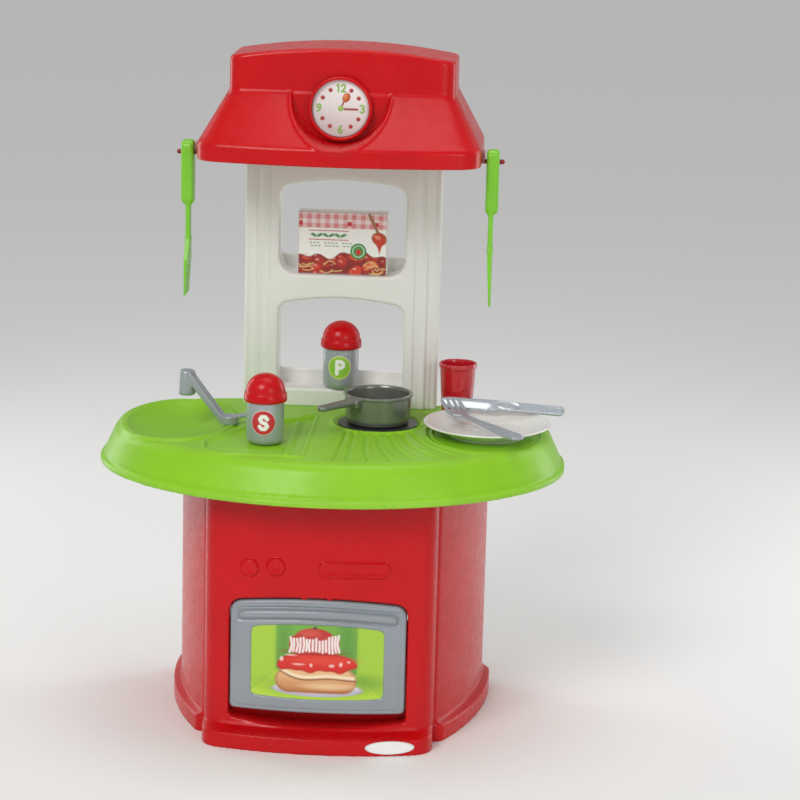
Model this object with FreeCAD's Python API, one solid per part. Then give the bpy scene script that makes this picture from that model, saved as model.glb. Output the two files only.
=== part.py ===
import FreeCAD, Part
import math
import os
from FreeCAD import Vector

# Tabletop toy kitchen in moulded plastic: a red base with an oven door, a green worktop
# with sink, drainer and burner, a white back frame with two openings, a red hood with a
# clock, and the loose play pieces.  Millimetres.  x runs along the front, y from the
# front (-) to the back (+), z up.  Origin: centre of the footprint, on the floor.

WALL = 3.0              # wall of the large mouldings
HEIGHT = 600.0          # floor to the top of the hood
WIDTH = 420.0           # worktop rim, left to right
FIT = 0.05              # radial clearance of a pin that turns in its hole

# worktop
RIM_Z = 229.0           # underside of the worktop rim
RIM_LIP = 5.0           # height of the rim bead
DECK_Z = 264.0          # top of the worktop
DECK = 5.0              # thickness of the worktop
WIDEST_Y = 30.0         # where the worktop is widest
RIM_FRONT = 165.0       # rim from the widest line to the front
RIM_BACK = 105.0        # rim from the widest line to the back
FLARE = 16.0            # how far the apron leans out at the sides and front
FLARE_BACK = 6.0        # the same at the back
SINK = (-139.0, 24.0)
SINK_A, SINK_B, SINK_DEEP = 47.0, 72.0, 15.0
BURNER = (39.5, 40.0)
BURNER_R = 36.0
PLATE = (139.0, 15.0)
PLATE_REST = (139.0, 18.0, 48.0, 70.0)
RECESS = 1.5            # depth of the flat recesses in the worktop
DRAINER = [(-108, -56), (-72, 7), (-19, 56), (-19, -99), (-80, -99), (-100, -84)]
BOWL_RISE = 12.0        # centre of the sink's ellipsoid above the worktop
FRONT_RIB_X, FRONT_RIB_Y, FRONT_RIB_HALF = 60.0, (-98.5, -86.0), 2.0
SIDE_RIB_X, SIDE_RIB_Y, SIDE_RIB_HALF = 120.0, (84.0, 87.0), 12.0
TAB_X, TAB_WIDE = (-86.0, 62.0), 24.0       # tabs of the back frame: left edges and width
TAB_Y0, TAB_Y1, TAB_LONG = 104.0, 116.0, 14.0
TAB_ROOM = 0.3          # clearance round a tab in its slot

# faucet
FAUCET = (-92.0, 14.0)
NOZZLE = (-133.0, 30.0)
STEM_R, STEM_LONG = 4.0, 12.0
SPOUT_FOOT_R, SPOUT_FOOT_TALL = 8.0, 8.0
ARM_HALF = 4.5          # half the width of the spout's arm
NOZZLE_R, NOZZLE_LOW, NOZZLE_TOP = 8.0, 22.0, 45.0
BORE_R, BORE_TOP = 5.5, 35.0
LEVER_HALF, LEVER_TURN = 4.0, 8.0

# base
FRONT_HALF = 102.0      # seam between the front panel and a side panel
SEAM_Y = -66.0
FACE_R = 361.0          # radius of the bowed front
FACE_Y = -100.0         # front of the panel on the centre line
SKIRT_OUT = 14.0        # how far the foot of the front panel comes forward
SKIRT_Z = 14.0
SKIRT_TOP = 18.5
FRONT_CORNER = 14.0     # radius between the bowed face and a side return
BASE_TOP = 240.0
SIDE_MIDDLE = (130.0, 5.0)      # point that the curved side goes through
SIDE_BACK = 108.0
SIDE_HALF = 140.0
SIDE_SKIRT = 7.0
SHELF_Z = 25.0          # underside of the oven shelf
KNOBS = ((-60.5, 163.0), (-37.0, 165.5))
KNOB_R, KNOB_OUT = 8.5, 2.5
BAR_X1, BAR_Z0, BAR_Z1, BAR_OUT, BAR_CORNER = 62.0, 158.0, 172.0, 1.5, 5.0
BADGE_X, BADGE_Z, BADGE_A, BADGE_B, BADGE_THICK = 66.0, 8.0, 21.5, 6.0, 0.8

# oven door
DOOR_HALF = 77.0
DOOR_LOW, DOOR_CORNER, DOOR_TOP = 33.5, 131.0, 137.0
DOOR_GAP = 1.0
DOOR_WALL = 2.5         # rim of the door, all round
JAMB_DEEP = 8.0         # depth of the door frame behind the pivots
PIVOT_Y, PIVOT_Z, PIVOT_R = -84.0, 39.0, 2.5
PIN_LONG, EYE_R = 5.5, 4.5
SCOOP_SIDE, SCOOP_MID = 25.0, 20.0
HANDLE_HALF, HANDLE_OUT = 70.0, 5.0
HANDLE_ENDS, HANDLE_MID = (115.5, 124.5), (120.0, 129.0)    # bottom and top of the handle bar
PICTURE_HALF = 59.0
PICTURE_LOW, PICTURE_LOW_MID, PICTURE_TOP, PICTURE_TOP_MID = 48.0, 46.0, 110.0, 114.5

# back frame
FRAME_HALF = 90.0
FRAME_FRONT, FRAME_BACK = 96.0, 126.5
FRAME_TOP = 560.0
REVEAL = 57.5           # half the width of both openings
BACK_WALL = 2.5
LEDGE_Z = 281.0         # floor of the lower opening
TRAY_Z = 388.0          # floor of the upper opening
# both openings: floor, corner height, middle height, lower and upper corner radius, window sill
OPENINGS = ((LEDGE_Z, 359.0, 366.0, 4.0, 8.0, 294.0), (TRAY_Z, 468.0, 475.0, 15.0, 9.0, 402.0))

# hood
BAND_LOW, BAND_TOP, BREAK_Z = 501.0, 516.0, 561.0
HOOD_HALF, HOOD_TOP_HALF = 126.0, 101.0
HOOD_BACK = 130.0
HOOD_EDGE, HOOD_BOW, HOOD_CORNER = 9.0, 13.0, 18.0
HOOD_FACE = 45.0        # upright upper face of the hood
FACE_BOW, FACE_CORNER = 2.0, 12.0
CROWN_SIDE = 583.0      # top of the hood at its sides
HOOD_RIB_X, HOOD_RIB_Y, HOOD_RIB_HALF = 60.0, (100.0, 122.0), 1.5
CLOCK_Z, CLOCK_R = 548.0, 25.5
CASE_DEEP, CASE_FLOOR, DIAL_THICK = 8.0, 2.0, 1.0
SCOOP_R, SCOOP_Z, SCOOP_Y = 43.0, 560.0, 44.0

# utensils and their pegs
PEG_Y, PEG_Z, PEG_R, PEG_LONG = 50.0, 504.0, 2.2, 18.5
BOSS_R, BOSS_OUT, BOSS_RISE = 6.0, 3.0, 4.0
UTENSIL_X0, UTENSIL_X1 = 130.5, 142.0
UTENSIL_MID = 138.0     # outer face of the shafts and blades
SHAFT_THICK = 4.5
UTENSIL_TOP, HANDLE_LOW, HANDLE_WIDE = 515.0, 457.0, 9.0
SPATULA_SLOTS, SLOT_HALF = (-9.0, 0.0, 9.0), 1.6
FORK_GAPS = (-5.0, 5.0)

# play pieces
SHAKER_R, SHAKER_TALL, SHAKER_WALL, SHAKER_FOOT = 16.5, 41.0, 1.8, 6.0
CAP_R, CAP_TALL = 19.0, 24.5
COVER = 3.0             # how far the cap reaches down over the body
LABEL_R, LABEL_RISE, LABEL_THICK = 11.0, 21.5, 0.3
SALT = (-54.0, -44.0, DECK_Z - RECESS)
PEPPER = (0.0, 107.0, LEDGE_Z)
PAN_R, PAN_TALL = 31.5, 28.0
PAN_GRIP_LONG, PAN_GRIP_HALF, PAN_GRIP_TURN = 47.0, 6.0, 232.0
BURNER_TALL = 2.0
CUP = (109.5, 84.5)
PLATE_Z = DECK_Z - RECESS
PLATE_R = 57.0
CUTLERY = 3.0           # thickness of the knife and of the fork's handle
KNIFE_ROLL, KNIFE_PITCH, KNIFE_YAW = 52.0, 1.0, -7.0
KNIFE_TIP = (95.0, 62.0, PLATE_Z + 18.1)
FORK_YAW = -57.0
FORK_TIP = (104.0, 47.0, PLATE_Z + 12.9)
FORK_SLITS, SLIT_HALF = (-5.4, 0.0, 5.4), 1.2
CARTON_HALF, CARTON_Y0, CARTON_Y1, CARTON_TALL = 41.0, 98.0, 116.0, 58.0

TINY = 0.01             # bend of an arc that stands for a straight line, and slight overlaps
BIG = 1000.0            # longer than anything here


def box(x0, x1, y0, y1, z0, z1):
    return Part.makeBox(x1 - x0, y1 - y0, z1 - z0, Vector(x0, y0, z0))


def cyl(radius, height, base, axis=(0, 0, 1)):
    return Part.makeCylinder(radius, height, Vector(*base), Vector(*axis))


def arc(a, b, c):
    return Part.Arc(Vector(*a), Vector(*b), Vector(*c)).toShape()


def line(a, b):
    return Part.LineSegment(Vector(*a), Vector(*b)).toShape()


def prism(points, along):
    """Solid on a closed polygon, swept along a vector."""
    corners = [Vector(*p) for p in points]
    wire = Part.makePolygon(corners + corners[:1])
    return Part.Face(wire).extrude(Vector(*along))


def fuse(first, *others):
    whole = first.fuse(list(others))
    return whole.removeSplitter()


def smooth_loop(points):
    """Closed smooth wire through the points."""
    curve = Part.BSplineCurve()
    curve.interpolate(Points=[Vector(*p) for p in points], PeriodicFlag=True)
    return Part.Wire(curve.toShape())


def round_edges(shape, radius, wanted):
    """Fillet the straight edges that wanted(midpoint, direction) picks."""
    picked = []
    for edge in shape.Edges:
        if len(edge.Vertexes) != 2:
            continue
        start, end = edge.Vertexes[0].Point, edge.Vertexes[1].Point
        if wanted((start + end) * 0.5, (end - start).normalize()):
            picked.append(edge)
    return shape.makeFillet(radius, picked)


def turned(profile, centre, base_z):
    """Solid of revolution about a vertical axis.  Profile: edges in the xz plane."""
    face = Part.Face(Part.Wire(profile))
    solid = face.revolve(Vector(0, 0, 0), Vector(0, 0, 1), 360)
    solid.translate(Vector(centre[0], centre[1], base_z))
    return solid


def turned_polygon(points, centre, base_z):
    edges = [line((a[0], 0, a[1]), (b[0], 0, b[1])) for a, b in zip(points, points[1:] + points[:1])]
    return turned(edges, centre, base_z)


def save(name, shape):
    shape.exportStep("parts/" + name + ".step")
    ends = shape.BoundBox
    print("%-18s solids %d volume %9.0f valid %s  x %.1f..%.1f y %.1f..%.1f z %.1f..%.1f" % (
        name, len(shape.Solids), shape.Volume, shape.isValid(),
        ends.XMin, ends.XMax, ends.YMin, ends.YMax, ends.ZMin, ends.ZMax))


# ---------------------------------------------------------------- worktop

def worktop_outline(inset, inset_back, z, count=48):
    """Plan of the worktop: half an ellipse in front, a squarer curve behind."""
    half = WIDTH / 2 - inset
    front = RIM_FRONT - inset
    back = RIM_BACK - inset_back
    points = []
    for i in range(count):
        turn = 2 * math.pi * i / count
        c, s = math.cos(turn), math.sin(turn)
        if s < 0:
            points.append((half * c, WIDEST_Y + front * s, z))
        else:
            x = half * math.copysign(abs(c) ** (2 / 3), c)
            points.append((x, WIDEST_Y + back * s ** (2 / 3), z))
    return smooth_loop(points)


def worktop_block(inset, z_low, z_top):
    """Apron and top as one block, leaning in towards the top."""
    def lean(z):
        return (z - RIM_Z) / (DECK_Z - RIM_Z)
    sections = []
    for z in (z_low, z_top):
        sections.append(worktop_outline(inset + FLARE * lean(z), inset + FLARE_BACK * lean(z), z))
    return Part.makeLoft(sections, True, True)


def oval_bowl(grow):
    """Dished bowl of the sink: the low end of an ellipsoid."""
    tall = BOWL_RISE + SINK_DEEP
    spread = math.sqrt(1 - (BOWL_RISE / tall) ** 2)
    ball = Part.makeSphere(1.0)
    stretch = FreeCAD.Matrix()
    stretch.A11 = SINK_A / spread + grow
    stretch.A22 = SINK_B / spread + grow
    stretch.A33 = tall + grow
    bowl = ball.transformGeometry(stretch)
    bowl.translate(Vector(SINK[0], SINK[1], DECK_Z + BOWL_RISE))
    return bowl


def oval_prism(centre, a, b, z0, z1):
    ellipse = Part.Ellipse(Vector(centre[0], centre[1], z0), max(a, b), min(a, b)).toShape()
    if b > a:
        ellipse.rotate(Vector(centre[0], centre[1], z0), Vector(0, 0, 1), 90)
    return Part.Face(Part.Wire(ellipse)).extrude(Vector(0, 0, z1 - z0))


def drainer_prism(z0, z1):
    return prism([(x, y, z0) for x, y in DRAINER], (0, 0, z1 - z0))


def frame_tabs(grow, z0, z1):
    """Tabs of the back frame, or with grow the slots that they go into."""
    tabs = []
    for x in TAB_X:
        tabs.append(box(x - grow, x + TAB_WIDE + grow, TAB_Y0 - grow, TAB_Y1 + grow, z0, z1))
    return tabs


def make_worktop():
    """Green top with its apron; ribs underneath rest on the top edges of the base."""
    body = worktop_block(0.0, RIM_Z, DECK_Z)
    bead = Part.Face(worktop_outline(0.0, 0.0, RIM_Z)).extrude(Vector(0, 0, RIM_LIP))
    hollow = worktop_block(WALL, RIM_Z - 1, DECK_Z - DECK)
    under = box(-BIG, BIG, -BIG, BIG, RIM_Z, DECK_Z - TINY)
    bowl = oval_bowl(WALL).common(under)
    ribs = []
    rib_top = DECK_Z - DECK + 1
    for side in (-1, 1):
        front_x, side_x = side * FRONT_RIB_X, side * SIDE_RIB_X
        ribs.append(box(front_x - FRONT_RIB_HALF, front_x + FRONT_RIB_HALF, *FRONT_RIB_Y, BASE_TOP, rib_top))
        ribs.append(box(side_x - SIDE_RIB_HALF, side_x + SIDE_RIB_HALF, *SIDE_RIB_Y, BASE_TOP, rib_top))
    shell = fuse(fuse(body, bead).cut(hollow), bowl, *ribs)
    top = DECK_Z + 1
    cuts = [oval_bowl(0.0)]
    cuts.append(cyl(BURNER_R + 2, top, (BURNER[0], BURNER[1], DECK_Z - RECESS)))
    cuts.append(drainer_prism(DECK_Z - RECESS, top))
    cuts.append(oval_prism(PLATE_REST[:2], PLATE_REST[2], PLATE_REST[3], DECK_Z - RECESS, top))
    cuts.append(cyl(STEM_R + FIT, 60, (FAUCET[0], FAUCET[1], DECK_Z - 20)))
    cuts += frame_tabs(TAB_ROOM, DECK_Z - 40, top)
    return shell.cut(cuts)


def make_burner():
    return cyl(BURNER_R, BURNER_TALL, (BURNER[0], BURNER[1], DECK_Z - RECESS))


# ---------------------------------------------------------------- base

def face_y(x, radius, centre_y):
    return centre_y - math.sqrt(radius ** 2 - x ** 2)


def front_plan(inset, forward, z, back_y):
    """Plan of the front panel: bowed face, rounded corners, short side returns."""
    half = FRONT_HALF - inset
    corner = FRONT_CORNER - inset
    radius = FACE_R - inset
    centre_y = FACE_Y + FACE_R - forward
    edge_x = half - corner
    edge_y = face_y(edge_x, radius, centre_y)
    cut_off = corner * (1 - math.sqrt(0.5))
    middle = (half - cut_off, edge_y + cut_off, z)
    mirrored = (-middle[0], middle[1], z)
    edges = [
        line((half, back_y, z), (half, edge_y + corner, z)),
        arc((half, edge_y + corner, z), middle, (edge_x, edge_y, z)),
        arc((edge_x, edge_y, z), (0, centre_y - radius, z), (-edge_x, edge_y, z)),
        arc((-edge_x, edge_y, z), mirrored, (-half, edge_y + corner, z)),
        line((-half, edge_y + corner, z), (-half, back_y, z)),
        line((-half, back_y, z), (half, back_y, z)),
    ]
    return Part.Wire(edges)


def front_block(inset, back_y, z_low=0.0):
    """Front panel as one block, with the foot skirt; inset makes the block for its inside."""
    levels = [(z_low, SKIRT_OUT), (SKIRT_Z, SKIRT_OUT), (SKIRT_TOP, 0.0), (BASE_TOP + inset, 0.0)]
    plans = [front_plan(inset, forward, z, back_y) for z, forward in levels]
    return Part.makeLoft(plans, True, True)


def arched(half, z_low, z_low_mid, z_corner, z_mid, y0, y1):
    """Block through the thickness, flat sides, curved top and bottom, seen from the front."""
    edges = [
        arc((-half, y0, z_low), (0, y0, z_low_mid), (half, y0, z_low)),
        line((half, y0, z_low), (half, y0, z_corner)),
        arc((half, y0, z_corner), (0, y0, z_mid), (-half, y0, z_corner)),
        line((-half, y0, z_corner), (-half, y0, z_low)),
    ]
    return Part.Face(Part.Wire(edges)).extrude(Vector(0, y1 - y0, 0))


def corners_of(low, high):
    """Picks the edges that run along y between two heights."""
    def wanted(middle, direction):
        return abs(direction.y) > 0.99 and low < middle.z < high
    return wanted


def make_front_panel():
    """Bowed front with the door's frame, moulded knobs and bar, and the pivot holes of the door."""
    block = front_block(0.0, SEAM_Y)
    shell = block.cut(front_block(WALL, SEAM_Y + 20, -1.0))
    half = DOOR_HALF + DOOR_GAP
    top = DOOR_CORNER + DOOR_GAP
    mid = DOOR_TOP + DOOR_GAP
    y_in = PIVOT_Y + JAMB_DEEP
    hole = arched(half, SCOOP_SIDE, SCOOP_MID, top, mid, -BIG, y_in + 10)
    hole = round_edges(hole, 10.0, corners_of(top - 5, top + 5))
    jamb = arched(half + WALL, SCOOP_SIDE - WALL, SCOOP_MID - WALL, top + WALL, mid + WALL, -BIG, y_in)
    jamb = jamb.common(block)
    sill = box(-half - WALL, half + WALL, y_in, y_in + WALL, SCOOP_MID - WALL, DOOR_LOW - DOOR_GAP)
    knobs = []
    for x, z in KNOBS:
        knobs.append(cyl(KNOB_R, 12, (x, face_y(x, FACE_R, FACE_Y + FACE_R) - KNOB_OUT, z), (0, 1, 0)))
    bar = box(0, BAR_X1, FACE_Y - BAR_OUT, FACE_Y + 12, BAR_Z0, BAR_Z1)
    bar = round_edges(bar, BAR_CORNER, corners_of(BAR_Z0 - 5, BAR_Z1 + 5))
    relief = [piece.cut(front_block(WALL, SEAM_Y + 20, -1.0)) for piece in knobs + [bar]]
    panel = fuse(shell, jamb, *relief).cut(hole)
    panel = fuse(panel, sill)
    pivots = []
    for side in (-1, 1):
        pivots.append(cyl(PIVOT_R + FIT, 20, (side * (half - 5), PIVOT_Y, PIVOT_Z), (side, 0, 0)))
    return panel.cut(pivots)


def side_plan(inset, out, z, inner_x, y0, y1):
    """Plan of the right side panel: a swelling curve from the seam to the back."""
    shift = out - inset
    middle = (SIDE_MIDDLE[0] + shift, SIDE_MIDDLE[1], z)
    edges = [
        arc((FRONT_HALF + shift, y0, z), middle, (SIDE_HALF + shift, y1, z)),
        line((SIDE_HALF + shift, y1, z), (inner_x, y1, z)),
        line((inner_x, y1, z), (inner_x, y0, z)),
        line((inner_x, y0, z), (FRONT_HALF + shift, y0, z)),
    ]
    return Part.Wire(edges)


def side_block(inset, inner_x, y0, y1, z_low=0.0):
    levels = [(z_low, SIDE_SKIRT), (SKIRT_Z, SIDE_SKIRT), (SKIRT_TOP, 0.0), (BASE_TOP + inset, 0.0)]
    plans = [side_plan(inset, out, z, inner_x, y0, y1) for z, out in levels]
    return Part.makeLoft(plans, True, True)


def make_side_panel():
    """Right side panel, with a ledge inside that carries the oven shelf."""
    block = side_block(0.0, 90.0, SEAM_Y, SIDE_BACK)
    hollow = side_block(WALL, 80.0, SEAM_Y + WALL, SIDE_BACK - WALL, -1.0)
    ledge = box(90, 120, SEAM_Y + WALL, SIDE_BACK - WALL, SHELF_Z - WALL, SHELF_Z)
    ledge = ledge.common(block)
    return fuse(block.cut(hollow), ledge)


def mirrored(shape):
    return shape.mirror(Vector(0, 0, 0), Vector(1, 0, 0))


def make_oven_floor():
    """Shelf inside the oven; its long edges lie on the ledges of the side panels."""
    back = SIDE_BACK - 10
    shelf = box(-95, 95, SEAM_Y + 5, back, SHELF_Z, SHELF_Z + WALL)
    nose = box(-88, 88, PIVOT_Y + JAMB_DEEP + WALL, SEAM_Y + 5, SHELF_Z, SHELF_Z + WALL)
    upstand = box(-88, 88, back - WALL, back, SHELF_Z + WALL, 60)
    return fuse(shelf, nose, upstand)


# ---------------------------------------------------------------- oven door

def bowed_solid(radius):
    return cyl(radius, HEIGHT, (0, FACE_Y + FACE_R, 0))


def make_oven_door():
    """Bowed door with a raised handle near its top and a pivot pin at each lower corner."""
    outline = arched(DOOR_HALF, DOOR_LOW, DOOR_LOW - TINY, DOOR_CORNER, DOOR_TOP, -200, PIVOT_Y + 4)
    outline = round_edges(outline, 9.0, corners_of(DOOR_CORNER - 5, DOOR_CORNER + 5))
    skin = outline.common(bowed_solid(FACE_R - 1))
    hollow = arched(DOOR_HALF - DOOR_WALL, DOOR_LOW + DOOR_WALL, DOOR_LOW + DOOR_WALL - TINY,
                    DOOR_CORNER - DOOR_WALL, DOOR_TOP - DOOR_WALL, -200, PIVOT_Y + 20)
    hollow = hollow.common(bowed_solid(FACE_R - 4))
    handle = arched(HANDLE_HALF, HANDLE_ENDS[0], HANDLE_MID[0], HANDLE_ENDS[1], HANDLE_MID[1], -200, 0)
    handle = handle.common(bowed_solid(FACE_R + HANDLE_OUT))
    handle = handle.cut(bowed_solid(FACE_R - 2))
    door = fuse(skin.cut(hollow), handle)
    pins = []
    for side in (-1, 1):
        base = (side * (DOOR_HALF - DOOR_WALL), PIVOT_Y, PIVOT_Z)
        pins.append(cyl(PIVOT_R, PIN_LONG, base, (side, 0, 0)))
        pins.append(cyl(EYE_R, DOOR_WALL, base, (side, 0, 0)))
    return fuse(door, *pins)


def make_door_sticker():
    """Picture sticker that lies on the face of the door."""
    window = arched(PICTURE_HALF, PICTURE_LOW, PICTURE_LOW_MID, PICTURE_TOP, PICTURE_TOP_MID, -200, 0)
    window = round_edges(window, 5.0, corners_of(0, 200))
    return window.common(bowed_solid(FACE_R - 0.6)).cut(bowed_solid(FACE_R - 1))


def make_badge():
    """Plain oval plate that lies on the curved foot skirt."""
    oval = oval_prism((0, 0), BADGE_A, BADGE_B, 0, 300)
    oval.rotate(Vector(0, 0, 0), Vector(1, 0, 0), 90)
    oval.translate(Vector(BADGE_X, 0, BADGE_Z))
    skirt_y = FACE_Y + FACE_R - SKIRT_OUT
    outer = cyl(FACE_R + BADGE_THICK, HEIGHT, (0, skirt_y, 0))
    inner = cyl(FACE_R, HEIGHT, (0, skirt_y, 0))
    return oval.common(outer).cut(inner)


# ---------------------------------------------------------------- back frame

def frame_profile(inset, z):
    """Plan of the frame: the front steps back twice towards each side."""
    half = FRAME_HALF - inset
    front = FRAME_FRONT + inset
    right = [(66, front), (68, front + 2), (78, front + 2), (80, front + 4.5), (half - 2, front + 4.5),
             (half, front + 8), (half, FRAME_BACK + inset)]
    left = [(-x, y) for x, y in reversed(right)]
    return [(x, y, z) for x, y in left + right]


def opening_block(z_low, z_corner, z_mid, r_low, r_top, grow, y0, y1):
    shape = arched(REVEAL + grow, z_low - grow, z_low - grow - TINY, z_corner + grow, z_mid + grow, y0, y1)
    shape = round_edges(shape, r_top + grow, corners_of(z_corner - 2, z_corner + 12))
    return round_edges(shape, r_low + grow, corners_of(z_low - 12, z_low + 2))


def make_back_frame():
    """Hollow white frame with two trays that open through to the back; tabs at its foot."""
    tall = FRAME_TOP - DECK_Z
    block = prism(frame_profile(0.0, DECK_Z), (0, 0, tall))
    hollow = prism(frame_profile(WALL, DECK_Z + WALL), (0, 0, tall - 2 * WALL))
    frame = block.cut(hollow)
    y_back = FRAME_BACK - BACK_WALL
    for z_low, z_corner, z_mid, r_low, r_top, sill in OPENINGS:
        walls = opening_block(z_low, z_corner, z_mid, r_low, r_top, 2.5, FRAME_FRONT, FRAME_BACK)
        recess = opening_block(z_low, z_corner, z_mid, r_low, r_top, 0.0, FRAME_FRONT - 5, y_back)
        window = opening_block(sill, z_corner, z_mid, 4.0, r_top, 0.0, FRAME_FRONT - 5, FRAME_BACK + 5)
        frame = fuse(frame, walls).cut([recess, window])
    return fuse(frame, *frame_tabs(0.0, DECK_Z - TAB_LONG, DECK_Z + 1))


# ---------------------------------------------------------------- hood

def hood_plan(half, edge_y, bow, corner, inset, z):
    half -= inset
    edge_y += inset
    corner -= inset * 0.5
    cut_off = corner * (1 - math.sqrt(0.5))
    back = HOOD_BACK - inset
    left_to_right = [
        line((half, back, z), (half, edge_y + corner, z)),
        arc((half, edge_y + corner, z), (half - cut_off, edge_y + cut_off, z), (half - corner, edge_y, z)),
        arc((half - corner, edge_y, z), (0, edge_y - bow, z), (corner - half, edge_y, z)),
        arc((corner - half, edge_y, z), (cut_off - half, edge_y + cut_off, z), (-half, edge_y + corner, z)),
        line((-half, edge_y + corner, z), (-half, back, z)),
        line((-half, back, z), (half, back, z)),
    ]
    return Part.Wire(left_to_right)


def hood_block(inset, low):
    """Hood as one block: upright band, slope, upright face, curved crown and the round scoop."""
    plans = [
        hood_plan(HOOD_HALF, HOOD_EDGE, HOOD_BOW, HOOD_CORNER, inset, low),
        hood_plan(HOOD_HALF, HOOD_EDGE, HOOD_BOW, HOOD_CORNER, inset, BAND_TOP),
        hood_plan(HOOD_TOP_HALF, HOOD_FACE + 2, FACE_BOW, FACE_CORNER, inset, BREAK_Z),
        hood_plan(HOOD_TOP_HALF - 2, HOOD_FACE + 4, FACE_BOW, FACE_CORNER, inset, HEIGHT + 20),
    ]
    block = Part.makeLoft(plans, True, True)
    crown = arched(HOOD_HALF + 10, low - 5, low - 5 - TINY, CROWN_SIDE - inset, HEIGHT - inset, -50, 200)
    scoop_r = SCOOP_R + inset
    scoop = cyl(scoop_r, 100 + SCOOP_Y + inset, (0, -100, SCOOP_Z), (0, 1, 0))
    return block.common(crown).cut(scoop)


def make_hood():
    """Hood shell; two ribs inside it stand on the top of the back frame."""
    shell = hood_block(0.0, BAND_LOW).cut(hood_block(WALL, BAND_LOW - 1))
    ribs = []
    for x in (-HOOD_RIB_X, HOOD_RIB_X):
        rib = box(x - HOOD_RIB_HALF, x + HOOD_RIB_HALF, *HOOD_RIB_Y, FRAME_TOP, HEIGHT)
        ribs.append(rib.common(hood_block(0.5, BAND_LOW)))
    return fuse(shell, *ribs)


def make_clock_case():
    front = (0, SCOOP_Y - CASE_DEEP, CLOCK_Z)
    ring = cyl(CLOCK_R + WALL, CASE_DEEP, front, (0, 1, 0))
    inside = cyl(CLOCK_R, CASE_DEEP - CASE_FLOOR, front, (0, 1, 0))
    return ring.cut(inside)


def make_clock_dial():
    front = (0, SCOOP_Y - CASE_FLOOR - DIAL_THICK, CLOCK_Z)
    return cyl(CLOCK_R - 0.3, DIAL_THICK, front, (0, 1, 0))


def make_peg():
    """Right peg: a flat boss on the side of the hood and a pin with a domed end."""
    boss = cyl(BOSS_R, BOSS_OUT, (HOOD_HALF, PEG_Y, PEG_Z + BOSS_RISE), (1, 0, 0))
    boss = boss.common(box(0, 200, 0, 200, BAND_LOW, BAND_LOW + 23))
    pin = cyl(PEG_R, PEG_LONG, (HOOD_HALF, PEG_Y, PEG_Z), (1, 0, 0))
    tip = Part.makeSphere(PEG_R, Vector(HOOD_HALF + PEG_LONG, PEG_Y, PEG_Z))
    return fuse(boss, pin, tip)


# ---------------------------------------------------------------- utensils

def side_outline(points, x0, x1):
    """Solid on an outline drawn in the yz plane about the peg, between two x."""
    return prism([(x0, PEG_Y + y, z) for y, z in points], (x1 - x0, 0, 0))


def utensil_handle():
    handle = box(UTENSIL_X0, UTENSIL_X1, PEG_Y - HANDLE_WIDE, PEG_Y + HANDLE_WIDE, HANDLE_LOW, UTENSIL_TOP)
    handle = round_edges(handle, 7.0, lambda middle, way: abs(way.x) > 0.99)
    outer = round_edges(handle, 3.5, lambda middle, way: abs(way.z) > 0.99 and middle.x > 135)
    hole = cyl(PEG_R + FIT, 100, (100, PEG_Y, PEG_Z), (1, 0, 0))
    return outer.cut(hole)


def utensil_shaft():
    rod = [(-5, HANDLE_LOW + 1), (5, HANDLE_LOW + 1), (4, 425), (-4, 425)]
    return side_outline(rod, UTENSIL_MID - SHAFT_THICK, UTENSIL_MID)


def thin_blade(points):
    """Blade that thins from the shaft to its tip."""
    blade = side_outline(points, UTENSIL_MID - SHAFT_THICK, UTENSIL_MID)
    behind = UTENSIL_MID - SHAFT_THICK - 0.1
    slope = [(behind, 0, 430), (behind, 0, 370), (UTENSIL_MID - 2.0, 0, 370)]
    wedge = prism(slope, (0, 200, 0))
    return blade.cut(wedge)


def make_spatula():
    head = thin_blade([(-4, 426), (4, 426), (15, 412), (17, 384), (13, 375), (-13, 375), (-17, 384), (-15, 412)])
    slots = []
    for y in SPATULA_SLOTS:
        near, far = y - SLOT_HALF, y + SLOT_HALF
        slots.append(side_outline([(near, 385), (far, 385), (far, 408), (near, 408)], 100, 160))
    return fuse(utensil_handle(), utensil_shaft(), head.cut(slots))


def make_serving_fork():
    head = thin_blade([(-4, 426), (4, 426), (14, 408), (13, 375), (-13, 375), (-14, 408)])
    gaps = []
    for y in FORK_GAPS:
        gaps.append(side_outline([(y - 2.3, 370), (y + 2.3, 370), (y + 1.8, 403), (y - 1.8, 403)], 100, 160))
    return fuse(utensil_handle(), utensil_shaft(), head.cut(gaps))


# ---------------------------------------------------------------- play pieces

def make_shaker(place):
    """Open jar with a rounded foot."""
    r, foot = SHAKER_R, SHAKER_FOOT
    outer = cyl(r, SHAKER_TALL, place)
    outer = outer.makeFillet(foot, [edge for edge in outer.Edges if abs(edge.BoundBox.ZMax - place[2]) < TINY])
    inner = cyl(r - SHAKER_WALL, SHAKER_TALL, (place[0], place[1], place[2] + 2))
    inner = inner.makeFillet(foot - 1.5, [edge for edge in inner.Edges if edge.BoundBox.ZMax < place[2] + 3])
    return outer.cut(inner)


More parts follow.
